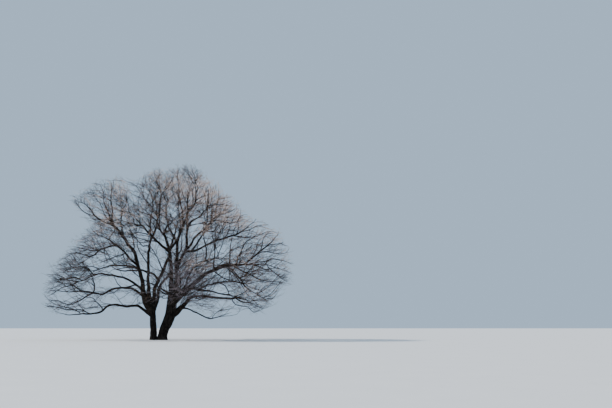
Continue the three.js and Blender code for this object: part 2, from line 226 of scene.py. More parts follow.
# Sprays: shoots along the thin branches, and twigs at set places along each shoot. Angles are in
# radians, and pairs are a middle and its spread, or a least and a most.
SHOOT_BEARER = 0.04
SHOOT_LENGTH = (0.5, 1.0)
SHOOT_ANGLE = (0.9, 0.22)
SHOOT_BEND = (0.2, 0.34)
SHOOT_FORM = 0.0082 * np.array([1.0, 0.8, 0.55, 0.0])
END_LENGTH = (0.85, 1.5)
END_ANGLE = (0, 0.15)
TWIG_PLACES = [(0.14, 1.0), (0.28, -1.0), (0.42, 1.0), (0.55, -1.0), (0.68, 1.0), (0.8, -1.0), (0.91, 1.0)]
TWIG_FORMS = {3: 0.0058 * np.array([1.0, 0.8, 0.0]), 2: 0.0058 * np.array([1.0, 0.0])}
TWIG_CHANCE = 0.9
TWIG_ANGLE = (0.85, 0.22)
TWIG_SHARE = (0.34, 0.58)
TWIG_SHORTENING = (1.15, 0.6)
TWIG_BEND = (0.25, 0.25)
BENT_TWIGS = 1
UPWARD = np.array([0.0, 0.0, 0.1])
SIDE_WAVER = 0.35

# Bark grain: how far it is squeezed along the limb, and its lumps to the metre.
BARK_GRAIN = [(0.22, 11.0), (0.34, 27.0), (0.6, 60.0)]

# Floor, light and how far the camera sees.
FLOOR_HALF = 420.0
SKY_COLOUR = (0.34, 0.46, 0.6, 1)
SKY_STRENGTH = 1.3
SUN_STRENGTH = 4.4
SUN_COLOUR = (1.0, 0.95, 0.88)
SUN_WAY = (0.78, -0.1, -0.6)
SUN_SOFTNESS_DEGREES = 3.0
FURTHEST = 2000

# Stems: how their lobes are turned, the seed of their bark, and their levels: middle as seen
# (up, across), width as seen, and width from front to back.
STEMS = {
    "right_stem": {
        "lobe_turn": 0.4,
        "seed": 11,
        "levels": [
            (0.0, 0.0, 1.01, 1.01), (0.5, 0.06, 0.92, 0.9), (1.0, 0.2, 0.96, 0.9),
            (1.5, 0.45, 1.08, 0.94), (2.0, 0.66, 1.11, 0.95), (2.5, 0.81, 1.06, 0.94),
            (3.2, 0.93, 0.99, 0.9), (4.0, 1.06, 1.02, 0.86), (4.6, 1.17, 1.13, 0.82),
        ],
    },
    "left_stem": {
        "lobe_turn": 2.1,
        "seed": 23,
        "levels": [
            (0.0, -0.865, 0.69, 0.72), (0.5, -0.85, 0.66, 0.64), (1.0, -0.82, 0.63, 0.6),
            (1.7, -0.88, 0.59, 0.57), (2.4, -0.9, 0.58, 0.57), (2.9, -0.96, 0.67, 0.58),
            (3.35, -1.04, 0.84, 0.6), (3.75, -1.075, 1.04, 0.62),
        ],
    },
}

# Limbs: name, what it springs from, thickness at its two ends, the depth it ends at, and the
# points where it is seen (across, up).
LIMBS = [
    ("left_leader", "left_stem", 0.43, 0.09, -0.5,
     [(-1.15, 2.9), (-1.44, 3.6), (-1.77, 4.5), (-1.94, 5.5), (-2.16, 6.5), (-2.6, 8.0), (-2.85, 8.9),
      (-3.4, 9.6), (-4.1, 10.7), (-4.95, 11.6), (-5.4, 12.7), (-5.85, 13.8), (-5.8, 15.0)]),
    ("middle_leader", "left_stem", 0.29, 0.08, 0.5,
     [(-1.1, 3.0), (-1.2, 3.9), (-1.3, 4.6), (-1.37, 6.0), (-1.4, 7.8), (-1.3, 9.3), (-1.0, 10.25),
      (-0.7, 11.0), (-0.47, 11.9), (-0.5, 13.0), (-0.7, 14.0), (-0.6, 15.0)]),
    ("inner_leader", "left_stem", 0.35, 0.09, 5.2,
     [(-1.0, 3.0), (-0.88, 3.9), (-0.76, 4.9), (-0.56, 5.55), (-0.28, 6.15), (0.02, 6.8), (0.29, 7.5),
      (0.65, 8.4), (1.1, 10.0), (1.5, 11.5), (1.6, 12.8)]),
    ("back_leader", "left_stem", 0.34, 0.09, 7.2,
     [(-0.85, 2.9), (-0.53, 3.7), (-0.4, 4.8), (-0.11, 5.5), (0.43, 6.25), (1.1, 6.9), (2.0, 7.3)]),
    ("centre_leader", "right_stem", 0.39, 0.09, -4.8,
     [(1.05, 4.0), (0.97, 5.0), (0.95, 6.5), (0.85, 7.8), (0.7, 9.0), (0.43, 9.9), (0.17, 10.5),
      (-0.18, 11.2), (-0.28, 12.0), (-0.3, 12.9)]),
    ("right_leader", "right_stem", 0.34, 0.09, 0.0,
     [(1.25, 4.0), (1.4, 4.8), (1.45, 6.5), (1.5, 8.2), (1.52, 9.7), (1.9, 10.88), (2.25, 11.8),
      (2.58, 12.8), (2.6, 14.2), (2.9, 15.2)]),
    ("main_right_bough", "right_stem", 0.47, 0.1, 0.0,
     [(1.15, 3.9), (2.1, 4.8), (3.3, 5.7), (4.3, 6.55), (5.3, 7.05), (6.5, 7.45), (7.8, 7.56),
      (9.3, 7.55), (10.3, 7.6), (11.8, 7.1)]),
    ("low_right_bough", "right_stem", 0.43, 0.08, 2.3,
     [(0.85, 2.3), (1.42, 2.79), (2.25, 3.52), (2.95, 4.26), (4.02, 4.38), (5.49, 4.25), (6.7, 4.2),
      (7.66, 4.2), (8.7, 3.95), (9.6, 4.0)]),
    ("front_bough", "right_stem", 0.3, 0.1, -6.5, [(1.0, 3.5), (1.3, 4.15), (1.9, 5.0), (2.6, 5.65)]),
    ("lowest_left_bough", "left_stem", 0.24, 0.07, -1.3,
     [(-0.95, 2.3), (-1.25, 2.6), (-1.9, 3.08), (-2.4, 3.43), (-3.7, 3.4), (-4.7, 3.5), (-5.4, 3.35),
      (-6.1, 2.85), (-6.9, 2.6), (-8.2, 2.6), (-9.7, 2.55), (-10.7, 2.9)]),
    ("lower_left_bough", "left_leader", 0.21, 0.07, 1.5,
     [(-1.85, 4.25), (-2.35, 4.7), (-2.9, 5.04), (-3.9, 5.2), (-5.1, 5.0), (-5.9, 4.62), (-6.6, 4.67),
      (-7.4, 4.85), (-8.2, 4.9), (-9.7, 4.85), (-10.9, 4.95)]),
    ("front_left_bough", "left_leader", 0.2, 0.08, -5.2,
     [(-1.95, 5.0), (-2.8, 5.7), (-3.8, 6.25), (-5.2, 6.47), (-6.2, 6.57), (-7.0, 6.37), (-7.8, 6.02),
      (-8.7, 5.75)]),
    ("crossing_bough", "inner_leader", 0.19, 0.07, 6.0,
     [(-0.38, 6.05), (-1.0, 6.65), (-2.1, 7.0), (-2.8, 7.35), (-4.2, 7.4), (-5.2, 7.45), (-6.0, 7.15),
      (-7.0, 6.95), (-7.7, 7.05), (-8.4, 7.3)]),
    ("upper_left_bough", "left_leader", 0.21, 0.08, -5.2,
     [(-2.45, 7.4), (-3.2, 8.2), (-4.0, 9.0), (-4.8, 9.6), (-5.8, 10.3), (-6.5, 10.5)]),
    ("left_high_bough", "upper_left_bough", 0.16, 0.08, -0.3,
     [(-4.6, 9.45), (-5.4, 9.3), (-6.2, 9.0), (-7.0, 8.4), (-7.9, 8.15)]),
    ("back_left_bough", "left_leader", 0.17, 0.08, 5.6,
     [(-3.9, 10.4), (-4.05, 11.3), (-4.1, 12.0), (-3.9, 12.6)]),
    ("upper_left_fork", "left_leader", 0.16, 0.07, 0.0,
     [(-4.9, 11.5), (-5.8, 11.8), (-6.6, 12.3), (-7.3, 13.2), (-8.2, 14.0)]),
    ("long_diagonal", "centre_leader", 0.22, 0.08, -5.2,
     [(0.7, 8.85), (-0.21, 9.6), (-0.9, 10.3), (-1.56, 11.0), (-1.94, 11.4), (-2.6, 11.45),
      (-3.4, 11.75), (-4.3, 12.0)]),
    ("centre_fork", "centre_leader", 0.21, 0.09, -0.9,
     [(0.76, 9.0), (1.26, 9.7), (1.35, 10.05), (1.0, 10.7), (0.68, 11.27), (0.49, 12.04), (0.43, 13.2),
      (0.46, 14.3)]),
    ("upper_right_bough", "right_leader", 0.28, 0.1, -4.6,
     [(1.48, 7.3), (2.03, 8.45), (2.38, 9.03), (2.5, 10.0), (2.58, 11.2), (3.06, 11.9), (3.83, 12.36),
      (4.53, 12.74)]),
    ("upper_right_fork", "upper_right_bough", 0.2, 0.08, 0.2,
     [(2.4, 9.1), (2.86, 9.47), (3.31, 10.24), (4.17, 11.01), (4.78, 11.68), (5.39, 12.29), (6.0, 12.76),
      (6.9, 13.0)]),
    ("right_high_bough", "upper_right_bough", 0.19, 0.08, 0.5,
     [(2.3, 8.85), (3.38, 8.96), (4.27, 9.35), (5.49, 9.99), (6.7, 10.3), (7.8, 10.75), (8.6, 11.3),
      (9.4, 12.1)]),
    ("back_right_riser", "right_high_bough", 0.18, 0.08, 5.4,
     [(2.95, 8.93), (3.51, 9.67), (4.15, 10.63), (4.72, 11.08), (5.5, 11.3)]),
    ("outer_right_fork", "main_right_bough", 0.16, 0.08, -1.0,
     [(8.2, 7.55), (9.02, 8.18), (9.9, 8.92), (10.64, 9.53), (11.58, 10.54)]),
    ("arched_bough", "main_right_bough", 0.19, 0.08, -5.6,
     [(2.3, 4.95), (2.5, 6.0), (2.9, 6.9), (3.6, 7.5), (4.5, 8.0), (5.4, 8.18), (6.5, 7.7)]),
    ("right_low_fork", "main_right_bough", 0.18, 0.07, -0.9,
     [(2.2, 4.87), (2.98, 5.15), (3.76, 5.02), (4.45, 4.98), (5.49, 4.72), (6.96, 4.42), (8.3, 4.2)]),
    ("back_right_bough", "right_low_fork", 0.16, 0.08, 6.2,
     [(3.6, 5.05), (4.63, 5.5), (5.49, 5.72), (7.05, 5.86), (7.92, 5.67), (8.4, 5.2)]),
    ("lowest_right_bough", "low_right_bough", 0.14, 0.06, -2.2,
     [(1.9, 3.22), (2.35, 3.16), (3.16, 2.9), (4.02, 2.47), (4.89, 2.12), (5.9, 2.47), (7.0, 2.75)]),
]

# Where a limb is slimmer than an even taper: shares along it, and shares of its thickness there.
SLIMMER = {
    "low_right_bough": ([0.0, 0.15, 0.32, 0.6, 0.8], [0.9, 0.85, 0.62, 0.68, 0.95]),
    "main_right_bough": ([0.0, 0.2, 0.4, 0.5, 0.58, 0.68, 1.0], [1.1, 0.9, 0.8, 1.1, 1.0, 0.66, 0.7]),
    "left_leader": ([0.1, 0.2, 0.4, 0.5], [1.0, 0.86, 0.88, 1.0]),
    "centre_fork": ([0.3, 0.5, 0.8], [1.0, 0.75, 0.8]),
}

# Lesser limbs, which carry on inside the masses or stand between them.
SHOOTS = [
    ("left_leader", 0.14, 0.04, -1.5, [(-5.0, 11.7), (-5.0, 13.0), (-5.1, 14.0), (-4.95, 15.3)]),
    ("left_leader", 0.1, 0.03, 1.0, [(-2.75, 8.9), (-2.8, 9.5), (-2.95, 10.2), (-3.2, 10.9), (-3.5, 11.6)]),
    ("upper_left_fork", 0.08, 0.03, -1.8, [(-6.7, 12.4), (-7.4, 12.6), (-8.1, 13.1), (-8.8, 13.9)]),
    ("lower_left_bough", 0.13, 0.03, 0.6, [(-6.8, 4.7), (-6.75, 5.6), (-6.95, 6.2), (-7.2, 6.8)]),
    ("lower_left_bough", 0.12, 0.03, 2.6,
     [(-6.9, 4.75), (-7.8, 4.2), (-8.6, 3.75), (-9.4, 3.55), (-10.4, 3.9), (-11.4, 3.85)]),
    ("lowest_left_bough", 0.09, 0.03, -2.2, [(-5.9, 3.1), (-6.5, 3.8), (-6.9, 4.2), (-7.6, 4.3)]),
    ("front_left_bough", 0.11, 0.03, -5.6,
     [(-8.0, 5.95), (-8.7, 6.3), (-9.5, 6.15), (-10.4, 6.1), (-11.2, 6.4)]),
    ("front_left_bough", 0.11, 0.03, -5.0,
     [(-8.3, 5.85), (-9.2, 5.45), (-9.9, 5.3), (-10.6, 4.95), (-11.4, 5.0)]),
    ("front_left_bough", 0.1, 0.03, -4.2,
     [(-6.9, 6.4), (-7.2, 6.95), (-7.8, 7.2), (-8.7, 7.25), (-9.6, 7.0)]),
    ("left_high_bough", 0.08, 0.02, -0.6, [(-5.8, 9.15), (-5.75, 8.4), (-5.5, 7.9), (-5.2, 7.5)]),
    ("left_high_bough", 0.09, 0.03, -1.4, [(-6.1, 9.0), (-6.8, 8.95), (-7.6, 9.1), (-8.6, 9.3)]),
    ("left_high_bough", 0.08, 0.03, 0.6, [(-7.2, 8.3), (-7.9, 8.6), (-8.6, 8.8), (-9.4, 8.6)]),
    ("upper_left_bough", 0.09, 0.03, -3.2, [(-5.3, 10.05), (-5.1, 10.5), (-4.7, 11.0), (-4.8, 11.8)]),
    ("middle_leader", 0.09, 0.02, 0.9,
     [(-1.3, 9.4), (-1.6, 9.45), (-1.85, 9.35), (-2.3, 9.9), (-2.8, 10.4), (-3.1, 11.0)]),
    ("middle_leader", 0.06, 0.02, -0.6, [(-1.35, 8.9), (-0.95, 8.7), (-0.7, 8.55), (-0.35, 8.7)]),
    ("middle_leader", 0.09, 0.03, 2.4, [(-0.6, 12.4), (-1.3, 13.3), (-1.8, 14.2), (-2.1, 15.2)]),
    ("long_diagonal", 0.09, 0.03, -3.2, [(-2.1, 11.4), (-2.6, 12.2), (-3.1, 12.6), (-3.6, 13.5)]),
    ("upper_right_bough", 0.2, 0.05, -2.4,
     [(2.53, 11.0), (2.55, 11.9), (2.62, 12.8), (2.93, 13.05), (3.2, 13.5), (3.35, 14.4), (3.4, 15.6)]),
    ("right_leader", 0.14, 0.04, 0.8,
     [(1.9, 10.9), (2.06, 11.6), (2.06, 12.4), (1.98, 13.1), (1.8, 13.8), (1.7, 14.8), (1.6, 15.9)]),
    ("right_leader", 0.11, 0.03, 2.2, [(1.75, 10.4), (1.85, 11.5), (1.75, 12.4), (1.6, 13.3), (1.2, 14.6)]),
    ("upper_right_fork", 0.14, 0.03, 1.8, [(5.3, 12.2), (5.45, 13.0), (5.6, 13.9), (5.7, 14.6)]),
    ("upper_right_fork", 0.08, 0.03, 1.2,
     [(5.0, 11.95), (5.9, 11.95), (6.4, 11.75), (7.0, 11.7), (7.8, 11.9)]),
    ("upper_right_fork", 0.07, 0.02, -0.6, [(5.3, 12.25), (6.0, 12.35), (6.7, 12.25), (7.5, 12.3)]),
    ("right_high_bough", 0.09, 0.03, 2.2, [(7.0, 10.35), (8.2, 10.3), (9.3, 10.3), (10.6, 10.9)]),
    ("right_high_bough", 0.07, 0.03, -1.0, [(7.5, 10.6), (7.65, 11.2), (7.6, 11.8), (7.9, 12.6)]),
    ("back_right_riser", 0.09, 0.03, 4.6, [(4.4, 10.85), (5.2, 10.8), (5.9, 10.7), (6.8, 10.9)]),
    ("main_right_bough", 0.14, 0.03, 2.4,
     [(7.4, 7.55), (7.68, 8.45), (7.88, 8.72), (8.21, 9.53), (8.8, 10.1), (9.6, 10.6)]),
    ("main_right_bough", 0.08, 0.03, 1.2, [(7.75, 7.6), (7.95, 8.7), (8.5, 9.0), (9.1, 9.5)]),
    ("main_right_bough", 0.1, 0.04, -2.6,
     [(5.1, 6.95), (5.84, 6.41), (6.36, 6.19), (7.31, 5.85), (8.0, 5.6)]),
    ("main_right_bough", 0.07, 0.03, 2.2,
     [(6.5, 7.4), (7.22, 6.63), (7.66, 6.28), (7.92, 5.93), (8.61, 5.33), (9.6, 5.1)]),
    ("main_right_bough", 0.12, 0.07, 0.6, [(5.2, 7.0), (5.2, 7.9), (5.28, 8.9), (5.2, 9.9)]),
    ("outer_right_fork", 0.08, 0.03, 0.9, [(9.9, 8.9), (10.0, 9.6), (10.1, 10.1), (10.7, 10.8)]),
    ("main_right_bough", 0.09, 0.03, -1.8,
     [(8.7, 7.6), (9.4, 7.75), (10.2, 7.85), (11.1, 8.1), (11.6, 8.0), (12.6, 7.8)]),
    ("main_right_bough", 0.09, 0.03, 0.9, [(10.4, 7.6), (11.0, 6.9), (11.6, 6.4), (12.2, 6.0)]),
    ("main_right_bough", 0.12, 0.03, 1.6,
     [(7.0, 7.5), (7.8, 7.0), (8.7, 6.6), (9.4, 6.2), (10.4, 5.95), (12.0, 5.8)]),
    ("main_right_bough", 0.07, 0.03, 2.2, [(9.2, 7.5), (10.4, 7.1), (11.5, 7.2), (12.4, 6.9)]),
    ("outer_right_fork", 0.08, 0.03, -1.8, [(9.5, 8.6), (10.2, 8.8), (11.2, 8.65), (12.5, 8.6)]),
    ("outer_right_fork", 0.07, 0.03, 0.2, [(10.5, 9.4), (11.2, 9.6), (11.9, 9.6), (12.6, 9.4)]),
    ("low_right_bough", 0.08, 0.03, -0.6,
     [(6.9, 4.2), (7.05, 3.9), (7.3, 3.6), (8.0, 3.4), (8.6, 3.3), (9.0, 2.9), (9.7, 2.6)]),
    ("low_right_bough", 0.07, 0.03, 0.4, [(7.3, 4.2), (7.9, 3.8), (8.8, 3.7), (9.5, 3.35), (10.1, 3.1)]),
    ("back_right_bough", 0.11, 0.06, 3.6, [(5.6, 5.75), (6.3, 5.45), (6.6, 5.0), (6.7, 4.5)]),
    ("low_right_bough", 0.08, 0.03, 1.2, [(7.0, 4.25), (7.6, 4.5), (8.1, 4.7), (8.7, 5.2)]),
    ("low_right_bough", 0.08, 0.03, 2.4, [(7.2, 4.25), (7.8, 3.95), (8.5, 3.8), (9.4, 4.0), (10.6, 3.9)]),
    ("crossing_bough", 0.08, 0.03, 4.4, [(-4.7, 7.45), (-5.2, 8.2), (-5.6, 8.9), (-6.3, 9.5)]),
    ("crossing_bough", 0.14, 0.05, 4.8, [(-2.0, 7.0), (-3.1, 6.95), (-4.1, 6.95), (-5.1, 7.35)]),
    ("upper_left_bough", 0.09, 0.03, -3.2, [(-3.6, 8.6), (-4.5, 8.4), (-5.4, 8.0), (-6.3, 7.7)]),
    ("front_bough", 0.11, 0.03, -5.5, [(1.6, 4.6), (1.9, 5.6), (1.8, 6.4), (2.2, 7.1)]),
    ("front_bough", 0.1, 0.03, -8.0, [(2.1, 5.2), (2.9, 5.2), (3.8, 5.0), (4.6, 5.2)]),
    ("main_right_bough", 0.12, 0.07, 0.9, [(6.75, 7.5), (6.8, 8.4), (6.85, 9.6)]),
    ("main_right_bough", 0.12, 0.04, -1.6,
     [(6.6, 7.45), (7.3, 6.7), (8.0, 5.9), (8.3, 5.35), (8.9, 5.0), (9.6, 4.5), (10.4, 4.0)]),
    ("main_right_bough", 0.08, 0.03, 0.6, [(6.3, 7.3), (7.3, 6.4), (7.9, 5.6), (8.4, 4.7), (8.8, 4.1)]),
    ("back_right_bough", 0.08, 0.03, 5.0, [(7.6, 5.8), (8.5, 5.6), (9.7, 5.85), (11.2, 5.6)]),
    ("back_left_bough", 0.12, 0.03, 4.6, [(-4.1, 12.0), (-4.0, 12.9), (-3.65, 13.6), (-3.5, 15.0)]),
    ("back_left_bough", 0.07, 0.02, 5.8, [(-3.95, 12.5), (-3.9, 13.4), (-4.2, 14.0), (-4.6, 14.7)]),
    ("centre_leader", 0.12, 0.03, -3.4,
     [(-0.1, 11.0), (-0.6, 12.0), (-1.2, 12.5), (-1.9, 12.7), (-2.9, 13.2)]),
    ("centre_leader", 0.15, 0.04, -4.4, [(-0.28, 12.2), (-0.2, 13.3), (-0.1, 14.5), (-0.4, 15.6)]),
    ("centre_fork", 0.11, 0.03, -0.4, [(0.46, 13.6), (0.2, 14.6), (-0.3, 15.5), (-0.75, 16.4)]),
    ("long_diagonal", 0.13, 0.04, -4.6,
     [(-1.2, 10.6), (-1.15, 11.5), (-1.0, 12.7), (-0.9, 13.9), (-1.2, 15.0)]),
    ("upper_right_fork", 0.11, 0.03, 0.6, [(4.95, 11.8), (5.0, 12.8), (4.9, 13.6), (5.1, 14.7)]),
    ("upper_right_fork", 0.1, 0.03, 2.6,
     [(4.4, 11.2), (4.5, 12.2), (4.55, 13.0), (4.3, 14.2), (4.4, 15.2)]),
    ("upper_right_bough", 0.1, 0.03, -3.6, [(3.7, 12.3), (4.5, 13.1), (5.3, 13.6), (5.9, 14.3)]),
    ("upper_right_bough", 0.12, 0.03, -5.4, [(4.4, 12.7), (4.5, 13.2), (4.6, 13.9), (4.7, 14.8)]),
    ("right_leader", 0.1, 0.03, -1.2, [(2.6, 13.2), (3.1, 13.5), (3.05, 14.6), (3.3, 15.6), (3.6, 16.3)]),
    ("left_leader", 0.09, 0.03, 1.4, [(-2.8, 8.8), (-3.5, 8.9), (-4.2, 8.4), (-5.0, 8.5)]),
    ("middle_leader", 0.08, 0.03, -0.8, [(-1.35, 7.6), (-2.0, 8.5), (-2.4, 9.3), (-2.5, 10.4)]),
    ("inner_leader", 0.1, 0.03, 3.4, [(0.1, 6.9), (-0.4, 8.0), (-0.9, 9.0), (-1.5, 10.0)]),
    ("right_leader", 0.1, 0.03, 1.8, [(1.5, 8.4), (2.0, 9.4), (2.0, 10.4), (2.2, 11.4)]),
    ("right_leader", 0.1, 0.03, -1.8, [(1.5, 6.8), (2.1, 7.6), (3.0, 8.1), (4.0, 8.4)]),
    ("centre_leader", 0.17, 0.04, -0.8, [(0.95, 4.5), (0.5, 4.6), (0.1, 4.75), (-0.3, 5.1), (-0.5, 5.9)]),
    ("lowest_right_bough", 0.05, 0.02, -2.0, [(4.9, 2.15), (5.5, 2.8), (6.2, 3.0), (7.2, 3.2)]),
    ("lowest_right_bough", 0.05, 0.02, -2.8, [(5.4, 2.3), (6.0, 2.35), (6.8, 2.4), (7.6, 2.6)]),
    ("main_right_bough", 0.12, 0.04, -1.3, [(1.4, 4.05), (2.1, 4.4), (2.9, 5.0), (3.6, 5.5), (4.6, 6.0)]),
    ("main_right_bough", 0.1, 0.03, 0.8, [(1.5, 4.15), (2.3, 4.45), (3.1, 4.8), (4.2, 5.4)]),
    ("crossing_bough", 0.1, 0.03, 3.0, [(-2.2, 7.0), (-2.9, 7.5), (-3.7, 7.7), (-4.6, 7.6)]),
    ("crossing_bough", 0.1, 0.03, 4.6, [(-2.6, 7.25), (-3.4, 7.2), (-4.2, 7.15), (-5.0, 7.0)]),
    ("front_left_bough", 0.08, 0.03, -3.8, [(-8.3, 5.85), (-9.4, 6.0), (-10.6, 6.5), (-11.9, 6.6)]),
    ("lowest_left_bough", 0.08, 0.03, -0.2, [(-8.0, 2.6), (-8.8, 3.05), (-10.1, 3.35), (-11.2, 3.8)]),
    ("lowest_left_bough", 0.08, 0.03, -2.6,
     [(-7.2, 2.6), (-8.2, 3.1), (-9.3, 3.0), (-10.6, 3.3), (-11.8, 3.3)]),
]

# Upright young shoots that crowd the right stem's fork, in the same form.
FORK_SHOOTS = [
    ("front_bough", 0.06, 0.02, -1.9, [(1.1, 3.8), (0.6, 4.8), (0.3, 5.8), (0.1, 6.8)]),
    ("front_bough", 0.06, 0.02, -2.2, [(1.2, 3.9), (1.0, 5.0), (1.0, 6.2), (0.8, 7.3)]),
    ("front_bough", 0.06, 0.02, -2.5, [(1.2, 4.0), (1.5, 5.0), (1.7, 6.2), (1.8, 7.5)]),
    ("front_bough", 0.06, 0.02, -3.0, [(1.3, 4.1), (1.9, 5.2), (2.4, 6.4), (2.7, 7.7)]),
    ("front_bough", 0.06, 0.02, -3.2, [(1.5, 4.4), (2.4, 5.4), (3.1, 6.4), (3.7, 7.4)]),
    ("front_bough", 0.06, 0.02, -2.8, [(1.6, 4.6), (2.7, 5.3), (3.7, 6.1), (4.6, 6.7)]),
    ("front_bough", 0.06, 0.02, -3.4, [(1.4, 4.3), (2.5, 4.8), (3.4, 5.3), (4.2, 5.5)]),
    ("main_right_bough", 0.06, 0.02, -1.6, [(1.6, 4.3), (2.6, 4.9), (3.7, 5.2), (4.7, 5.3)]),
    ("main_right_bough", 0.06, 0.02, -1.8, [(1.7, 4.4), (2.9, 4.7), (3.8, 4.6), (4.6, 4.4)]),
    ("main_right_bough", 0.06, 0.02, -1.3, [(2.0, 4.7), (2.7, 5.7), (3.4, 6.6), (4.2, 7.3)]),
    ("main_right_bough", 0.06, 0.02, -0.9, [(2.8, 5.3), (3.6, 6.3), (4.2, 7.1), (5.1, 7.8)]),
    ("low_right_bough", 0.05, 0.02, -0.6, [(2.2, 3.5), (2.9, 3.9), (3.4, 3.7), (4.0, 3.4)]),
    ("low_right_bough", 0.05, 0.02, 0.2, [(1.9, 3.2), (2.1, 3.9), (2.7, 4.4), (3.6, 4.8)]),
    ("low_right_bough", 0.06, 0.02, -0.8, [(1.7, 3.0), (1.9, 3.7), (2.3, 4.3), (2.6, 5.1)]),
    ("low_right_bough", 0.06, 0.02, -1.0, [(2.0, 3.3), (2.4, 3.9), (3.0, 4.7), (3.7, 5.6)]),
    ("main_right_bough", 0.06, 0.02, -1.1, [(1.6, 4.3), (2.1, 4.1), (2.7, 4.3), (3.5, 4.2)]),
    ("centre_leader", 0.06, 0.02, -2.4, [(1.0, 4.6), (1.3, 5.6), (1.6, 6.8), (2.0, 8.0)]),
    ("right_leader", 0.06, 0.02, -1.6, [(1.4, 4.9), (1.9, 6.0), (2.5, 7.0), (3.1, 7.9)]),
    ("right_leader", 0.06, 0.02, -1.0, [(1.45, 6.0), (1.8, 6.9), (2.3, 7.9), (2.6, 8.8)]),
]

# Places where twigs stand closer: middle as seen (across, up), its depth, half sizes, and points
# drawn for each cubic metre.
THICKETS = [
    (2.3, 5.3, -1.2, 2.2, 1.7, 2.2, 16), (1.9, 7.6, 0.0, 1.4, 1.7, 2.0, 7),
    (-3.2, 8.6, 0.6, 1.7, 1.6, 2.0, 14), (0.2, 11.8, -1.0, 2.4, 2.0, 2.5, 8),
    (0.8, 16.4, 0.0, 3.5, 1.2, 3.0, 12), (7.0, 8.4, 0.6, 2.6, 1.6, 2.4, 5),
    (2.2, 6.2, -2.4, 2.0, 1.6, 1.2, 34), (1.5, 5.0, -2.0, 1.5, 1.0, 0.9, 40),
    (3.4, 4.4, -2.0, 1.5, 0.8, 1.0, 18), (-8.4, 13.5, -0.8, 1.1, 1.0, 1.4, 14),
    (6.2, 2.9, -2.2, 1.3, 0.6, 1.0, 26), (9.2, 12.0, 0.4, 1.5, 1.0, 1.6, 10),
    (8.3, 5.6, 0.4, 1.3, 1.2, 1.8, 18), (0.2, 4.9, 1.0, 0.7, 0.8, 1.0, 14),
    (3.9, 3.85, -0.2, 0.9, 0.6, 0.9, 30), (2.3, 4.3, -0.6, 0.8, 0.5, 0.7, 40),
    (-4.0, 7.4, 3.4, 1.1, 0.35, 1.0, 50), (2.4, 7.4, -2.0, 1.2, 0.8, 1.0, 30),
    (5.0, 13.4, 0.0, 0.9, 1.0, 1.6, 18), (-6.3, 10.0, -2.2, 1.0, 1.1, 1.6, 10),
    (9.3, 3.2, -0.2, 0.8, 0.5, 0.8, 30), (-0.2, 16.4, 0.5, 1.0, 0.7, 1.6, 16),
    (5.3, 14.5, 0.2, 0.8, 0.7, 1.2, 20), (-5.8, 10.4, -3.0, 0.9, 1.0, 1.6, 14),
    (-1.6, 11.5, 0.4, 1.0, 0.9, 1.6, 8), (4.6, 3.4, 0.2, 0.7, 0.6, 0.9, 40),
    (1.2, 6.4, -2.6, 0.8, 1.5, 0.9, 50), (-6.6, 8.5, -1.2, 0.9, 0.5, 1.2, 24),
]

# Sky that shows through the crown: middle as seen (across, up) and half sizes.
GAPS = [
    (-3.95, 4.1, 1.9, 0.55), (-4.4, 5.75, 2.1, 0.45), (-4.7, 6.85, 2.0, 0.3), (-1.75, 6.3, 0.28, 1.9),
    (-0.45, 7.9, 0.6, 0.85), (0.45, 5.4, 0.35, 0.5), (-0.05, 3.1, 0.45, 1.4), (3.3, 11.15, 0.5, 0.65),
    (4.5, 10.05, 0.6, 0.35), (6.05, 8.95, 0.95, 0.7), (5.55, 5.05, 1.05, 0.5), (6.2, 3.6, 0.9, 0.4),
    (-1.95, 10.35, 0.7, 0.8), (-4.6, 8.6, 1.1, 0.5), (-6.5, 8.1, 0.8, 0.4), (-6.5, 7.4, 0.9, 0.3),
    (-9.3, 4.4, 1.5, 0.35), (-6.3, 13.1, 0.6, 0.9), (1.15, 12.8, 0.45, 1.0), (6.2, 6.5, 0.9, 0.35),
    (-2.75, 14.9, 0.45, 0.9),
]

# The crown's outline as seen (across, up). Little grows outside it.
OUTLINE = [
    (-12.3, 3.0), (-12.1, 4.0), (-12.1, 5.2), (-11.9, 6.7), (-10.7, 7.7), (-9.5, 9.2), (-8.7, 10.6),
    (-7.5, 11.2), (-7.2, 12.1), (-8.6, 12.9), (-9.5, 13.7), (-9.3, 14.4), (-8.4, 14.9), (-7.4, 15.7),
    (-6.2, 16.3), (-5.0, 16.6), (-3.7, 16.3), (-2.6, 15.9), (-1.9, 16.7), (-1.0, 17.4), (-0.2, 17.3),
    (0.6, 17.2), (1.6, 17.7), (2.8, 17.9), (3.8, 17.4), (4.8, 16.3), (6.0, 15.5), (6.8, 14.8),
    (7.5, 14.1), (8.0, 13.2), (8.6, 12.5), (9.6, 12.1), (10.6, 11.7), (11.8, 11.0), (12.5, 10.0),
    (12.9, 8.8), (13.2, 7.4), (13.0, 6.0), (12.6, 4.9), (11.3, 4.1), (10.5, 3.2), (10.0, 2.5),
    (9.1, 2.5), (8.3, 3.0), (7.6, 3.0), (7.0, 2.7), (5.8, 2.3), (4.3, 2.1), (2.6, 2.6), (0.0, 2.4),
    (-1.8, 2.6), (-5.7, 2.6), (-7.2, 2.2), (-10.2, 2.2),
]

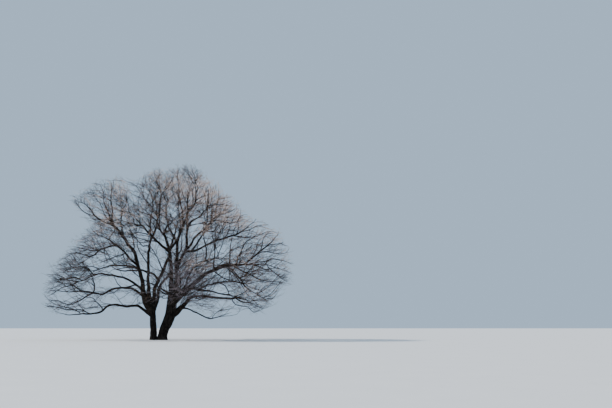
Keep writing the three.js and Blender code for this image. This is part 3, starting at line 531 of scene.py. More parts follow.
# Where sunlight is painted on the twigs as a tan tint: middle as seen (across, up), half sizes, and their
# share.
PAINTED_SUN_PATCHES = [
    (4.4, 14.8, 3.4, 1.6, 0.8), (6.7, 14.2, 1.7, 1.6, 0.9), (8.4, 12.2, 2.2, 1.5, 0.9),
    (10.9, 10.7, 2.2, 1.4, 0.8), (12.4, 8.4, 1.2, 2.2, 0.45), (1.4, 15.2, 1.6, 1.3, 0.6),
    (-3.9, 15.2, 1.4, 1.2, 0.45), (-0.4, 16.2, 2.2, 1.2, 0.35), (3.8, 11.0, 1.4, 0.8, 0.5),
    (-4.5, 12.2, 1.8, 1.4, 0.35), (7.5, 8.3, 3.0, 1.3, 0.15), (3.6, 7.6, 1.6, 0.9, 0.3),
    (9.5, 5.0, 2.6, 1.4, 0.25), (6.2, 12.1, 1.0, 1.1, 0.5),
]

# Twig tints, dealt out by spray: painted sunlight as tan twigs (half of them pale tan as a painted
# highlight) on the top and in the sunlit patches, how many are brown from left to right (more to the right
# as painted sunlit warmth), and where violet-grey gathers.
DARK, BROWN, VIOLET, PAINTED_SUN_TAN, PAINTED_HIGHLIGHT_PALE = range(5)
PAINTED_SUN_TOP = (0.12, 6.0, 14.0)
PAINTED_SUN_EDGE = (-1.25, -0.45)
# Brown twigs: a base share of their own brown, and more to the right as painted sunlit warmth.
BROWN_AND_SUN_WARMTH_SHARE = (0.3, 0.5, -4.0, 5.0)
HEART = (2.4, 6.0, 2.6, 2.3)
HEART_DARK = 0.6
VIOLET_SHARE = (0.15, 0.5)
PAINTED_HIGHLIGHT_SHARE = 0.5

# Numbers that scatter the value noise.
SCATTER = np.array([73856093, 19349663, 83492791])
SCATTER_SEED = 2654435761
SCATTER_AGAIN = 1274126177
SCATTER_TOP = 0x7FFFFFFF


# Small maths.

def unit(vectors):
    """Vectors of length one along the last axis."""
    size = np.linalg.norm(vectors, axis=-1, keepdims=True)
    return vectors / np.maximum(size, 1e-9)


def square_to(vectors, way):
    """What is left of vectors without their share along way."""
    return vectors - way * np.sum(vectors * way, axis=1, keepdims=True)


def ramp(value, low, high):
    """A smooth rise from 0 at low to 1 at high."""
    share = np.clip((value - low) / (high - low), 0.0, 1.0)
    return share * share * (3 - 2 * share)


def columns_at(at, known, table):
    """Each column of a table, read between its known places."""
    return np.stack([np.interp(at, known, column) for column in np.transpose(table)], axis=-1)


def noise(points, seed):
    """Smooth value noise between -1 and 1, one lattice step per unit."""
    cell = np.floor(points).astype(np.int64)
    part = points - cell
    part = part * part * (3 - 2 * part)
    total = np.zeros(len(points))
    for corner in range(8):
        step = np.array([corner & 1, (corner >> 1) & 1, (corner >> 2) & 1])
        code = np.bitwise_xor.reduce((cell + step) * SCATTER, axis=1) ^ (seed * SCATTER_SEED)
        code = (code ^ (code >> 13)) * SCATTER_AGAIN & SCATTER_TOP
        weight = np.prod(np.where(step, part, 1 - part), axis=1)
        total += weight * (code / (SCATTER_TOP // 2) - 1)
    return total


def sight_line(across, up):
    """The line of sight to what is seen at (across, up), for one step along the view's middle line."""
    right = (across - VIEW_ACROSS) / EYE_BACK
    raised = (up - VIEW_UP) / EYE_BACK
    return np.array([
        right, math.cos(TILT) - raised * math.sin(TILT), math.sin(TILT) + raised * math.cos(TILT),
    ])


towards_foot = sight_line(0, 0)
eye = -towards_foot * EYE_BACK / towards_foot[1]


def along_sight(across, up, depth):
    """The point seen at (across, up), at a depth along its line of sight."""
    line = sight_line(across, up)
    return eye + line * (EYE_BACK + depth) / line[1]


def as_seen(points):
    """Where points are seen (across, up)."""
    away = points - eye
    ahead = away[:, 1] * math.cos(TILT) + away[:, 2] * math.sin(TILT)
    raised = away[:, 2] * math.cos(TILT) - away[:, 1] * math.sin(TILT)
    across = VIEW_ACROSS + EYE_BACK * away[:, 0] / ahead
    return np.stack([across, VIEW_UP + EYE_BACK * raised / ahead], axis=1)


def from_middle(seen, across, up, wide, high):
    """How far seen points lie from the middle of an oval, 1 at its edge."""
    return np.hypot((seen[:, 0] - across) / wide, (seen[:, 1] - up) / high)


def smooth_curve(points, spacing):
    """Even points along a centripetal Catmull-Rom curve through the points."""
    points = np.asarray(points, dtype=float)
    ends = np.vstack([2 * points[0] - points[1], points, 2 * points[-1] - points[-2]])
    pieces = []
    for a, b, c, d in zip(ends, ends[1:], ends[2:], ends[3:]):
        ab, bc, cd = (np.linalg.norm(step) ** 0.5 for step in (b - a, c - b, d - c))
        start = ((b - a) / ab - (c - a) / (ab + bc) + (c - b) / bc) * bc
        stop = ((c - b) / bc - (d - b) / (bc + cd) + (d - c) / cd) * bc
        t = np.linspace(0, 1, CURVE_STEPS, endpoint=False)[:, None]
        pieces.append(b + start * t + (3 * (c - b) - 2 * start - stop) * t**2
                      + (2 * (b - c) + start + stop) * t**3)
    path = np.vstack([*pieces, points[-1:]])
    along = np.concatenate([[0], np.cumsum(np.linalg.norm(np.diff(path, axis=0), axis=1))])
    even = np.linspace(0, along[-1], max(3, int(round(along[-1] / spacing)) + 1))
    return columns_at(even, along, path)


# The limbs' middle lines.

def stem_line(stem):
    """A stem's middle line, and its half widths, at even heights."""
    seen = STEMS[stem]["levels"]
    middles = np.array([along_sight(across, up, 0.0) for up, across, _, _ in seen])
    widths = np.array([
        (wide / 2, deep / 2, middle[2]) for (_, _, wide, deep), middle in zip(seen, middles)
    ])
    return smooth_curve(middles, FINE_STEP), smooth_curve(widths, FINE_STEP)


def stem_at(stem, heights):
    """A stem's middle, and its half widths across and from front to back, at each height."""
    middle, half = stem_line(stem)
    wide, deep, _ = columns_at(heights, half[:, 2], half).T
    return columns_at(heights, middle[:, 2], middle[:, :2]), wide, deep


def kinks(along, seed):
    """A zigzag between -1 and 1 with a bend at every whole step along."""
    turns = np.random.default_rng(seed).uniform(-1, 1, int(along[-1]) + 2)
    return np.interp(along, np.arange(len(turns)), turns)


def limb_line(parent, depth, seen, seed):
    """A limb's middle line: it starts on its parent's and drifts evenly to its end depth."""
    start = parent[np.argmin(np.linalg.norm(as_seen(parent) - np.array(seen[0]), axis=1))]
    steps = np.linalg.norm(np.diff(np.array(seen), axis=0), axis=1)
    shares = np.concatenate([[0], np.cumsum(steps)]) / steps.sum()
    points = [
        along_sight(across, up, start[1] + (depth - start[1]) * share)
        for (across, up), share in zip(seen, shares)
    ]
    points[0] = start
    line = smooth_curve(points, FINE_STEP)
    along = np.arange(len(line)) * FINE_STEP
    for axis in range(3):
        bend = sum(
            weight * kinks(along * bends, seed + axis * stride + shift)
            for bends, weight, stride, shift in CROOK_BENDS
        )
        line[:, axis] += CROOK * bend * ramp(along, 0.0, CROOK_FROM)
    return line


def taper(line, base, tip):
    """Half the thickness at each point of a limb's line."""
    share = np.linspace(0, 1, len(line))
    return (tip + (base - tip) * (1 - share) ** TAPER_POWER) / 2


lines = {stem: stem_line(stem)[0] for stem in STEMS}
halves = {}
for number, (name, source, base, tip, depth, seen) in enumerate(LIMBS):
    line = limb_line(lines[source], depth, seen, LIMB_SEED + number)
    shares = np.linspace(0, 1, len(line))
    fade = 1 - (1 - THIN_TIP) * ramp(shares, THIN_FROM, 1.0)
    slim = np.interp(shares, *SLIMMER.get(name, ([0], [1])))
    lines[name] = line
    halves[name] = taper(line, base * FULLER, tip * FULLER) * fade * slim


# Mesh making.

def mesh_object(name, corners, faces, tints, materials):
    """A smooth-shaded object from corners and groups of faces, one array for each face size."""
    mesh = bpy.data.meshes.new(name)
    mesh.vertices.add(len(corners))
    mesh.vertices.foreach_set("co", corners.astype(np.float32).ravel())
    sizes = np.concatenate([np.full(len(group), group.shape[1]) for group in faces])
    order = np.concatenate([group.ravel() for group in faces])
    mesh.loops.add(len(order))
    mesh.loops.foreach_set("vertex_index", order.astype(np.int32))
    mesh.polygons.add(len(sizes))
    mesh.polygons.foreach_set("loop_start", (np.cumsum(sizes) - sizes).astype(np.int32))
    mesh.polygons.foreach_set("use_smooth", np.ones(len(sizes), dtype=bool))
    for material in materials:
        mesh.materials.append(material)
    if tints is not None:
        mesh.polygons.foreach_set("material_index", np.concatenate(tints).astype(np.int32))
    mesh.update(calc_edges=True)
    thing = bpy.data.objects.new(name, mesh)
    bpy.context.scene.collection.objects.link(thing)
    return thing


def ring(sides):
    """The corners of a ring: their angles, their numbers, and the number of the next one round."""
    side = np.arange(sides)
    return side / sides * 2 * math.pi, side, (side + 1) % sides


def lathe_faces(rings, sides):
    """Quads between rings, a polygon over the first ring, and a fan to the point after the last."""
    _, side, turn = ring(sides)
    low = np.arange(rings - 1)[:, None] * sides
    quads = np.stack([low + side, low + turn, low + sides + turn, low + sides + side], axis=-1)
    last = (rings - 1) * sides
    fan = np.stack([last + side, last + turn, np.full(sides, rings * sides)], axis=-1)
    return [quads.reshape(-1, 4), fan, side[::-1][None, :]]


class Strands:
    """Many thin tapering branches: points, half thicknesses, which points start one, tints and masses."""

    def __init__(self):
        self.parts = []

    def add(self, points, radii, first, tint, mass):
        self.parts.append((points, radii, first, tint, mass))

    def add_rows(self, points, form, tint, mass):
        """Branches of one form with equally many points each: points is (branches, points, 3)."""
        rows, count, _ = points.shape
        first = np.tile(np.arange(count) == 0, rows)
        radii = np.tile(form, rows)
        self.add(points.reshape(-1, 3), radii, first, np.repeat(tint, count), np.repeat(mass, count))

    def of_mass(self, mass):
        """The joined points, radii, starts and tints of one mass."""
        joined = [np.concatenate(column) for column in zip(*self.parts)]
        keep = joined[4] == mass
        return [column[keep] for column in joined[:4]]


def strands_object(name, points, radii, first, tint, sides, materials):
    """One mesh of closed tapering tubes, each ending in a point."""
    at = np.arange(len(points))
    last = np.append(first[1:], True)
    way = unit(points[np.where(last, at, at + 1)] - points[np.where(first, at, at - 1)])
    chord = unit(points[last] - points[first])
    flat = np.eye(3)[np.argmin(np.abs(chord), axis=1)]
    beside = unit(square_to(unit(np.cross(chord, flat))[np.cumsum(first) - 1], way))
    across = np.cross(way, beside)
    per_point = np.where(last, 1, sides)
    offset = np.cumsum(per_point) - per_point
    corners = np.empty((per_point.sum(), 3))
    body = np.flatnonzero(~last)
    angles, side, turn = ring(sides)
    rings = (beside[body, None] * np.cos(angles)[None, :, None]
             + across[body, None] * np.sin(angles)[None, :, None]) * radii[body, None, None]
    corners[offset[body][:, None] + side] = points[body, None] + rings
    corners[offset[last]] = points[last]
    inner = body[~last[body + 1]]
    outer = body[last[body + 1]]
    quads = np.stack([
        offset[inner][:, None] + side, offset[inner][:, None] + turn,
        offset[inner + 1][:, None] + turn, offset[inner + 1][:, None] + side,
    ], axis=-1).reshape(-1, 4)
    tips = np.stack([
        offset[outer][:, None] + side, offset[outer][:, None] + turn,
        np.repeat(offset[outer + 1][:, None], sides, axis=1),
    ], axis=-1).reshape(-1, 3)
    caps = offset[first][:, None] + side[::-1]
    tints = [np.repeat(tint[inner], sides), np.repeat(tint[outer], sides), tint[first]]
    return mesh_object(name, corners, [quads, tips, caps], tints, materials)


# Bark relief.

def furrows(place, seed):
    """How far bark stands out, less than 0 in a furrow, at places in metres round and along."""
    wander = noise(place * WANDER_LUMPS, seed + 3)
    ridges = np.abs(noise(place * RIDGE_LUMPS + wander[:, None] * RIDGE_WANDER, seed))
    breaks = np.abs(noise(place * BREAK_LUMPS, seed + 1))
    plates = np.clip(ridges * RIDGE_STEEPNESS, 0, 1) * np.clip(BREAKS[0] + breaks * BREAKS[1], 0, 1)
    return plates + GRIT * noise(place * GRIT_LUMPS, seed + 2) - HALF_RELIEF


def bark_object(name, rings, peak, place, length, material):
    """Bark from rings of corners and the point that closes it. It stores the place on the bark."""
    corners = np.vstack([rings.reshape(-1, 3), peak[None]])
    thing = mesh_object(name + "_bark", corners, lathe_faces(*rings.shape[:2]), None, [material])
    layer = thing.data.attributes.new("grain", "FLOAT_VECTOR", "POINT")
    layer.data.foreach_set("vector", np.vstack([place, [[0, 0, length]]]).astype(np.float32).ravel())
    return thing


def stem_bark(name, material):
    """A stem: its foot spreads in lobes, and its crotch closes in a low dome."""
    top = lines[name][-1, 2]
    rings = int(round(top / STEM_RING_STEP)) + 1
    dome = np.linspace(0, 1, CROTCH_RINGS + 1)[1:-1] * math.pi / 2
    shrink = np.concatenate([np.ones(rings), np.cos(dome)])
    levels = np.concatenate([np.linspace(0, top, rings), top + CROTCH_RISE * np.sin(dome)])
    angle, _, _ = ring(STEM_SIDES)
    centre, wide, deep = stem_at(name, np.minimum(levels, top))
    lobes = LOBE_DEPTH * np.cos(LOBES * angle + STEMS[name]["lobe_turn"])
    fade = np.exp(-levels / FLARE_HEIGHT)
    swell = (1 + fade[:, None] * (FLARE + lobes[None, :])) * shrink[:, None]
    spread_x = np.cos(angle)[None, :] * wide[:, None] * swell
    spread_y = np.sin(angle)[None, :] * deep[:, None] * swell
    heights = np.broadcast_to(levels[:, None], spread_x.shape)
    place = np.stack([spread_x.ravel(), spread_y.ravel(), heights.ravel()], axis=1)
    seed = STEMS[name]["seed"]
    bulge = STEM_BULGE * noise(place * STEM_LUMPS, seed + 9)
    relief = (STEM_FURROW * furrows(place, seed) + bulge).reshape(spread_x.shape)
    relief *= shrink[:, None] ** 0.5
    corners = np.stack([
        centre[:, 0, None] + spread_x + relief * np.cos(angle),
        centre[:, 1, None] + spread_y + relief * np.sin(angle),
        heights,
    ], axis=-1)
    height = top + CROTCH_RISE
    return bark_object(name, corners, np.array([*centre[-1], height]), place, height, material)


def carried_frames(line):
    """Tangents and two directions square to them, carried along a line without twist."""
    way = unit(np.gradient(line, axis=0))
    start = np.cross(way[0], [0.0, 1.0, 0.0])
    if np.linalg.norm(start) < LEAST_CROSS:
        start = np.cross(way[0], [1.0, 0.0, 0.0])
    beside = [unit(start)]
    for onward in way[1:]:
        beside.append(unit(beside[-1] - onward * np.dot(beside[-1], onward)))
    beside = np.array(beside)
    return way, beside, np.cross(way, beside)


def free_from(line, source):
    """How far along a limb it comes clear of what it springs from, and half that thing's thickness."""
    if source in halves:
        gaps = np.linalg.norm(line[:, None] - lines[source][None, ::LOOK_EVERY], axis=2)
        thick = halves[source][::LOOK_EVERY][np.argmin(gaps, axis=1)]
        inside = gaps.min(axis=1) < thick
        parent_half = thick[0]
    else:
        centre, wide, deep = stem_at(source, line[:, 2])
        away = np.hypot((line[:, 0] - centre[:, 0]) / wide, (line[:, 1] - centre[:, 1]) / deep)
        inside = (away < 1) & (line[:, 2] < lines[source][-1, 2] + CROTCH_INSIDE)
        parent_half = STEM_HALF
    clear = np.flatnonzero(~inside)
    return clear[0] * FINE_STEP if len(clear) else 0.0, parent_half


def bough_bark(name, source, material, seed):
    """A bough: it swells into a collar where it leaves its parent, and its bark is furrowed."""
    line = lines[name]
    length = len(line) * FINE_STEP
    rings = int(round(length / BOUGH_RING_STEP))
    at = np.linspace(0, len(line) - 1, rings)
    centre = columns_at(at, np.arange(len(line)), line)
    radius = np.interp(at, np.arange(len(line)), halves[name])
    along = at * FINE_STEP
    free, parent_half = free_from(line, source)
    swell, spread = CROTCH_COLLAR if source in STEMS and free > DEEP_IN_STEM else COLLAR
    collar = swell * np.exp(-np.maximum(along - free, 0) / (parent_half * spread + COLLAR_LEAST))
    radius = radius * (1 + collar)
    sides = next(sides for least, sides in BOUGH_SIDES if halves[name][0] > least)
    angle, _, _ = ring(sides)
    way, beside, across = carried_frames(centre)
    place = np.stack([
        (np.cos(angle)[None, :] * radius[:, None]).ravel(),
        (np.sin(angle)[None, :] * radius[:, None]).ravel(),
        np.repeat(along, sides),
    ], axis=1)
    thick = np.repeat(radius, sides)
    relief = (BOUGH_FURROW[0] + BOUGH_FURROW[1] * thick) * furrows(place, seed)
    relief += BOUGH_KNOT * thick * noise(place * KNOT_LUMPS, seed + 7)
    out = beside[:, None] * np.cos(angle)[None, :, None] + across[:, None] * np.sin(angle)[None, :, None]
    corners = centre[:, None] + out * (radius[:, None] + relief.reshape(rings, sides))[..., None]
    return bark_object(name, corners, centre[-1] + way[-1] * radius[-1], place, length, material)


# Growth.

def outline_depth(seen):
    """How far inside the crown's outline each seen point lies, less than 0 outside."""
    corners = np.array(OUTLINE)
    nearest = np.full(len(seen), np.inf)
    inside = np.zeros(len(seen), dtype=bool)
    for start, stop in zip(corners, np.roll(corners, -1, axis=0)):
        edge = stop - start
        share = np.clip((seen - start) @ edge / (edge @ edge), 0.0, 1.0)
        nearest = np.minimum(nearest, np.linalg.norm(seen - start - share[:, None] * edge, axis=1))
        crosses = (start[1] > seen[:, 1]) != (stop[1] > seen[:, 1])
        rise = edge[1] if abs(edge[1]) > 1e-9 else 1e-9
        inside ^= crosses & (seen[:, 0] < start[0] + (seen[:, 1] - start[1]) * edge[0] / rise)
    return np.where(inside, nearest, -nearest)


def sky_share(points, inset=0.0):
    """How much may grow at each point: little where sky shows through or round the crown."""
    seen = as_seen(points)
    ragged = RAGGED * noise(points * RAGGED_LUMPS, RAGGED_SEED)
    share = ramp(outline_depth(seen) - inset + ragged, *OUTLINE_FADE)
    for gap in GAPS:
        share *= GAP_SHARE + (1 - GAP_SHARE) * ramp(from_middle(seen, *gap), *GAP_EDGE)
    return share


def mass_goals(name):
    """Points that branches grow towards: inside one mass, and thinner just outside it."""
    mesh = frame["nodes"][name].data
    corners = [vertex.co.copy() for vertex in mesh.vertices]
    tree = BVHTree.FromPolygons(corners, [tuple(face.vertices) for face in mesh.polygons])
    low, high = (np.array(corner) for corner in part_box(name))
    low = low - SOFT_REACH
    high = high + SOFT_REACH
    count = int(np.prod(high - low) * DRAW_PER_CUBIC_METRE * DENSE.get(name, 1.0))
    drawn = random.uniform(low, high, (count, 3))
    luck = random.random(count)
    goals = []
    for point, chance, open_share in zip(drawn, luck, sky_share(drawn, GOAL_INSET)):
        spot, normal, _, distance = tree.find_nearest(Vector(point))
        outside = distance if (Vector(point) - spot).dot(normal) > 0 else 0.0
        allowed = 1.0 if outside == 0 else OUTSIDE_SHARE * math.exp(-((outside / SOFT_EDGE) ** 2))
        if chance < allowed * open_share:
            goals.append(point)
    return goals


def inner_goals():
    """A few points all through the crown."""
    low, high = INNER_MIDDLE - INNER_HALF, INNER_MIDDLE + INNER_HALF
    drawn = random.uniform(low, high, (int(np.prod(high - low) * INNER_PER_CUBIC_METRE), 3))
    inner = np.linalg.norm((drawn - INNER_MIDDLE) / INNER_HALF, axis=1) < 1.0
    inner &= random.random(len(drawn)) < sky_share(drawn, GOAL_INSET)
    return drawn[inner & (drawn[:, 2] > LOWEST_INNER)]


def thicket_goals():
    """Points inside the thickets."""
    goals = []
    for across, up, depth, *half, per_cubic_metre in THICKETS:
        drawn = random.uniform(-1, 1, (int(8 * math.prod(half) * per_cubic_metre), 3))
        drawn = drawn[np.linalg.norm(drawn, axis=1) < 1]
        goals.append(along_sight(across, up, depth) + drawn * [half[0], half[2], half[1]])
    goals = np.vstack(goals)
    return goals[random.random(len(goals)) < sky_share(goals, GOAL_INSET)]


def goals_along(joints):
    """Points around the limbs' joints, for the side branches along them."""
    high = joints[joints[:, 2] > LOWEST_JOINT]
    chosen = high[random.integers(0, len(high), int(len(high) * LIMB_GOALS))]
    ways = unit(random.normal(0, 1, chosen.shape))
    goals = chosen + ways * random.uniform(*LIMB_GOAL_REACH, (len(chosen), 1))
    kept = random.random(len(goals)) < sky_share(goals, GOAL_INSET)
    return goals[kept & (goals[:, 2] > LOWEST_SIDE_GOAL)]


class Growth:
    """Joints that branches grow from, each with the joint before it."""

    def __init__(self):
        self.place = []
        self.parent = []
        self.radius = []

    def add_line(self, line, radii, parent):
        """Joints along a limb. The first hangs from a joint of its parent limb."""
        for at in range(JOINT_EVERY, len(line), JOINT_EVERY):
            self.place.append(line[at])
            self.parent.append(parent)
            self.radius.append(radii[at])
            parent = len(self.place) - 1

    def nearest(self, point):
        """The joint nearest to a point."""
        return int(np.argmin(np.linalg.norm(np.array(self.place) - point, axis=1)))


def outward(points):
    """The way from the crown's heart out through each point."""
    return unit((points - CROWN_HEART) * CROWN_SPREAD)


def search_tree(place, numbers):
    """A search tree over some of the joints."""
    tree = KDTree(len(numbers))
    for number in numbers:
        tree.insert(place[number], number)
    tree.balance()
    return tree


def grow(place, parent, goals, step, reach, arrive):
    """Grows towards the goals: each joint steps towards the goals ahead that it is nearest to."""
    place = [np.array(point) for point in place]
    parent = list(parent)
    children = [[] for _ in place]
    for number, before in enumerate(parent):
        if before >= 0:
            children[before].append(number)
    tree = search_tree(place, range(len(place)))
    found = [tree.find(goal) for goal in goals]
    near = np.array([hit[1] for hit in found])
    gap = np.array([hit[2] for hit in found])
    alive = gap > arrive * ARRIVED
    for _ in range(MOST_ROUNDS):
        spots = np.array(place)
        onward = unit(spots - spots[np.maximum(parent, 0)])
        towards = unit(goals - spots[near])
        at_tip = np.array([not grown for grown in children])
        turn = np.where(at_tip[near], TIP_TURN, SIDE_TURN)
        ahead = np.sum(towards * onward[near], axis=1) > turn
        active = np.flatnonzero(alive & (gap < reach) & ahead)
        if len(active) == 0:
            break
        pull = np.zeros((len(place), 3))
        np.add.at(pull, near[active], towards[active])
        movers = np.unique(near[active])
        ways = unit(pull[movers]) + MOMENTUM * onward[movers] + OUTWARD * outward(spots[movers])
        ways = unit(ways + random.normal(0, WAVER, ways.shape) + [0.0, 0.0, LIFT])
        leaving = np.sum(ways * outward(spots[movers]), axis=1) > LEAST_OUTWARD
        leaving |= np.linalg.norm(spots[movers] - CROWN_HEART, axis=1) < FREE_HEART
        movers, ways = movers[leaving], ways[leaving]
        born = []
        for mover, way in zip(movers, ways):
            point = spots[mover] + way * step
            crowded = any(
                np.linalg.norm(place[child] - point) < step * CLOSEST for child in children[mover]
            )
            if crowded or len(children[mover]) >= MOST_CHILDREN or point[2] < LOWEST_TWIG:
                continue
            place.append(point)
            parent.append(int(mover))
            children.append([])
            children[mover].append(len(place) - 1)
            born.append(len(place) - 1)
        if not born:
            break
        tree = search_tree(place, born)
        stuck = np.isin(near, movers) & alive & (gap < reach)
        for goal in np.flatnonzero(alive):
            _, number, distance = tree.find(goals[goal])
            if distance < gap[goal]:
                gap[goal] = distance
                near[goal] = number
                stuck[goal] = False
        alive &= gap > arrive
        alive &= ~(stuck & (random.random(len(alive)) < GIVE_UP))
    return np.array(place), np.array(parent)


def thicken(parent, given):
    """Half thickness of each joint, summed from its twigs down, and its heaviest child."""
    count = len(parent)
    load = np.full(count, TWIG_TIP**PIPE_POWER)
    heaviest = np.full(count, -1)
    best = np.zeros(count)
    for joint in range(count - 1, -1, -1):
        before = parent[joint]
        if before >= 0:
            load[before] += load[joint]
            if load[joint] > best[before]:
                best[before] = load[joint]
                heaviest[before] = joint
    radius = load ** (1 / PIPE_POWER)
    radius[:len(given)] = given
    for joint in range(len(given), count):
        before = parent[joint]
        if heaviest[before] == joint:
            radius[joint] = max(radius[joint], radius[before] * SLOWEST_TAPER)
        radius[joint] = min(radius[joint], radius[before] * LEAST_TAPER)
    return radius, heaviest


def soften(place, parent, heaviest, held):
    """Eases the kinks out of grown branches, and leaves the limbs' own joints where they are."""
    free = np.arange(len(place)) >= held
    for _ in range(EASING_ROUNDS):
        before = place[np.maximum(parent, 0)]
        after = np.where((heaviest >= 0)[:, None], place[heaviest], place + (place - before) * 0.5)
        eased = place * 0.5 + (before + after) * 0.25
        place = np.where(free[:, None], eased, place)
    return place


def strands_of_growth(place, parent, radius, heaviest, drawn_from, owner, tint):
    """Follows each grown branch along its heaviest joints, thick and thin branches apart."""
    boughs, twigs = Strands(), Strands()
    for joint in range(drawn_from, len(place)):
        before = parent[joint]
        if before >= drawn_from and heaviest[before] == joint:
            continue
        chain = [joint]
        while heaviest[chain[-1]] >= 0:
            chain.append(heaviest[chain[-1]])
        base = min(radius[before] * BRANCH_BASE[0], radius[joint] * BRANCH_BASE[1])
        points = np.vstack([place[before], place[chain]])
        radii = np.append(base, radius[chain])
        middle = chain[len(chain) // 2]
        shade = DARK if base > DARK_BRANCH else tint[middle]
        target = boughs if base > THICK_BRANCH else twigs
        target.add(points, radii, np.arange(len(points)) == 0, np.full(len(points), shade),
                   np.full(len(points), owner[middle]))
    return boughs, twigs


def bent_rows(start, way, length, bend, count):
    """Branches of equally many points: each leaves along way and turns towards way + bend."""
    rows = [start]
    for step in range(1, count):
        share = (step - 0.5) / (count - 1)
        rows.append(rows[-1] + unit(way + bend * share) * (length / (count - 1))[:, None])
    return np.stack(rows, axis=1)


def side_ways(way, turn):
    """Directions square to way: mostly level, to the side that turn gives."""
    level = np.cross(way, [0.0, 0.0, 1.0]) + random.normal(0, SIDE_WAVER, way.shape)
    return unit(square_to(level, way)) * turn[:, None]


def add_sprays(twigs, place, parent, heaviest, bearers, owner, tint):
    """Shoots along the thin branches, and twigs along the shoots, dealt out left and right."""
    many = len(bearers)
    before = place[parent[bearers]]
    way = unit(place[bearers] - before)
    ends = heaviest[bearers] < 0
    turn = np.where(np.arange(many) % 2 == 0, 1.0, -1.0)
    spread = np.where(ends, random.normal(*END_ANGLE, many), random.normal(*SHOOT_ANGLE, many))
    back = random.random(many) * ~ends
    start = place[bearers] - (place[bearers] - before) * back[:, None]
    aim = unit(way * np.cos(spread)[:, None] + side_ways(way, turn) * np.sin(spread)[:, None])
    length = np.where(ends, random.uniform(*END_LENGTH, many), random.uniform(*SHOOT_LENGTH, many))
    bend = SHOOT_BEND[0] * outward(start) + random.normal(0, SHOOT_BEND[1], aim.shape) + UPWARD
    shoots = bent_rows(start, aim, length, bend, len(SHOOT_FORM))
    fits = random.random(many) < sky_share(shoots[:, -1])
    fits &= np.all((shoots[:, -1] > cad_low) & (shoots[:, -1] < cad_high), axis=1)
    fits &= shoots[:, -1, 2] > LOWEST_SHOOT
    shoots, length = shoots[fits], length[fits]
    owner, tint = owner[bearers][fits], tint[bearers][fits]
    twigs.add_rows(shoots, SHOOT_FORM, tint, owner)
    for number, (share, side) in enumerate(TWIG_PLACES):
        at = share * (len(SHOOT_FORM) - 1)
        low = int(at)
        base = shoots[:, low] + (shoots[:, low + 1] - shoots[:, low]) * (at - low)
        onward = unit(shoots[:, low + 1] - shoots[:, low])
        kept = random.random(len(shoots)) < TWIG_CHANCE
        angle = random.normal(*TWIG_ANGLE, len(shoots))[:, None]
        sideways = side_ways(onward, np.full(len(shoots), side))
        aim = unit(onward * np.cos(angle) + sideways * np.sin(angle))
        reach = length * random.uniform(*TWIG_SHARE, len(shoots))
        reach = reach * (TWIG_SHORTENING[0] - TWIG_SHORTENING[1] * share)
        bend = TWIG_BEND[0] * onward + UPWARD + random.normal(0, TWIG_BEND[1], aim.shape)
        count = 3 if number < BENT_TWIGS else 2
        rows = bent_rows(base, aim, reach, bend, count)
        twigs.add_rows(rows[kept], TWIG_FORMS[count], tint[kept], owner[kept])


def deal_tints(points):
    """A tint for each spray: tan as painted sunlight on the top and right, some of it pale tan as a painted
    highlight, violet-grey in the heart.
    """
    seen = as_seen(points)
    painted_sun = PAINTED_SUN_TOP[0] * ramp(seen[:, 1], *PAINTED_SUN_TOP[1:])
    for *oval, share in PAINTED_SUN_PATCHES:
        painted_sun = np.maximum(painted_sun, share * ramp(-from_middle(seen, *oval), *PAINTED_SUN_EDGE))
    heart = np.exp(-from_middle(seen, *HEART) ** 2)
    luck = random.random((3, len(points)))
    # More brown to the right is painted sunlit warmth, on top of the twigs' own brown.
    brown_and_sun_warmth = BROWN_AND_SUN_WARMTH_SHARE[0] + BROWN_AND_SUN_WARMTH_SHARE[1] * ramp(seen[:, 0], *BROWN_AND_SUN_WARMTH_SHARE[2:])
    tint = np.where(luck[2] > brown_and_sun_warmth * (1 - HEART_DARK * heart), DARK, BROWN)
    tint = np.where(luck[1] < VIOLET_SHARE[0] + VIOLET_SHARE[1] * heart, VIOLET, tint)
    # Twigs in the painted sunlight turn tan, or pale tan as a painted highlight.
    return np.where(luck[0] < painted_sun, np.where(luck[2] < PAINTED_HIGHLIGHT_SHARE, PAINTED_HIGHLIGHT_PALE, PAINTED_SUN_TAN), tint)


# Materials.

class Value:
    """A socket of a finish. Sums, differences and products of values add their Math nodes."""

    def __init__(self, finish, socket):
        self.finish = finish
        self.socket = socket

    def _math(self, operation, other):
        return self.finish.node("ShaderNodeMath", {"operation": operation}, {0: self, 1: other})

    def __add__(self, other):
        return self._math("ADD", other)

    def __sub__(self, other):
        return self._math("SUBTRACT", other)

    def __mul__(self, other):
        return self._math("MULTIPLY", other)


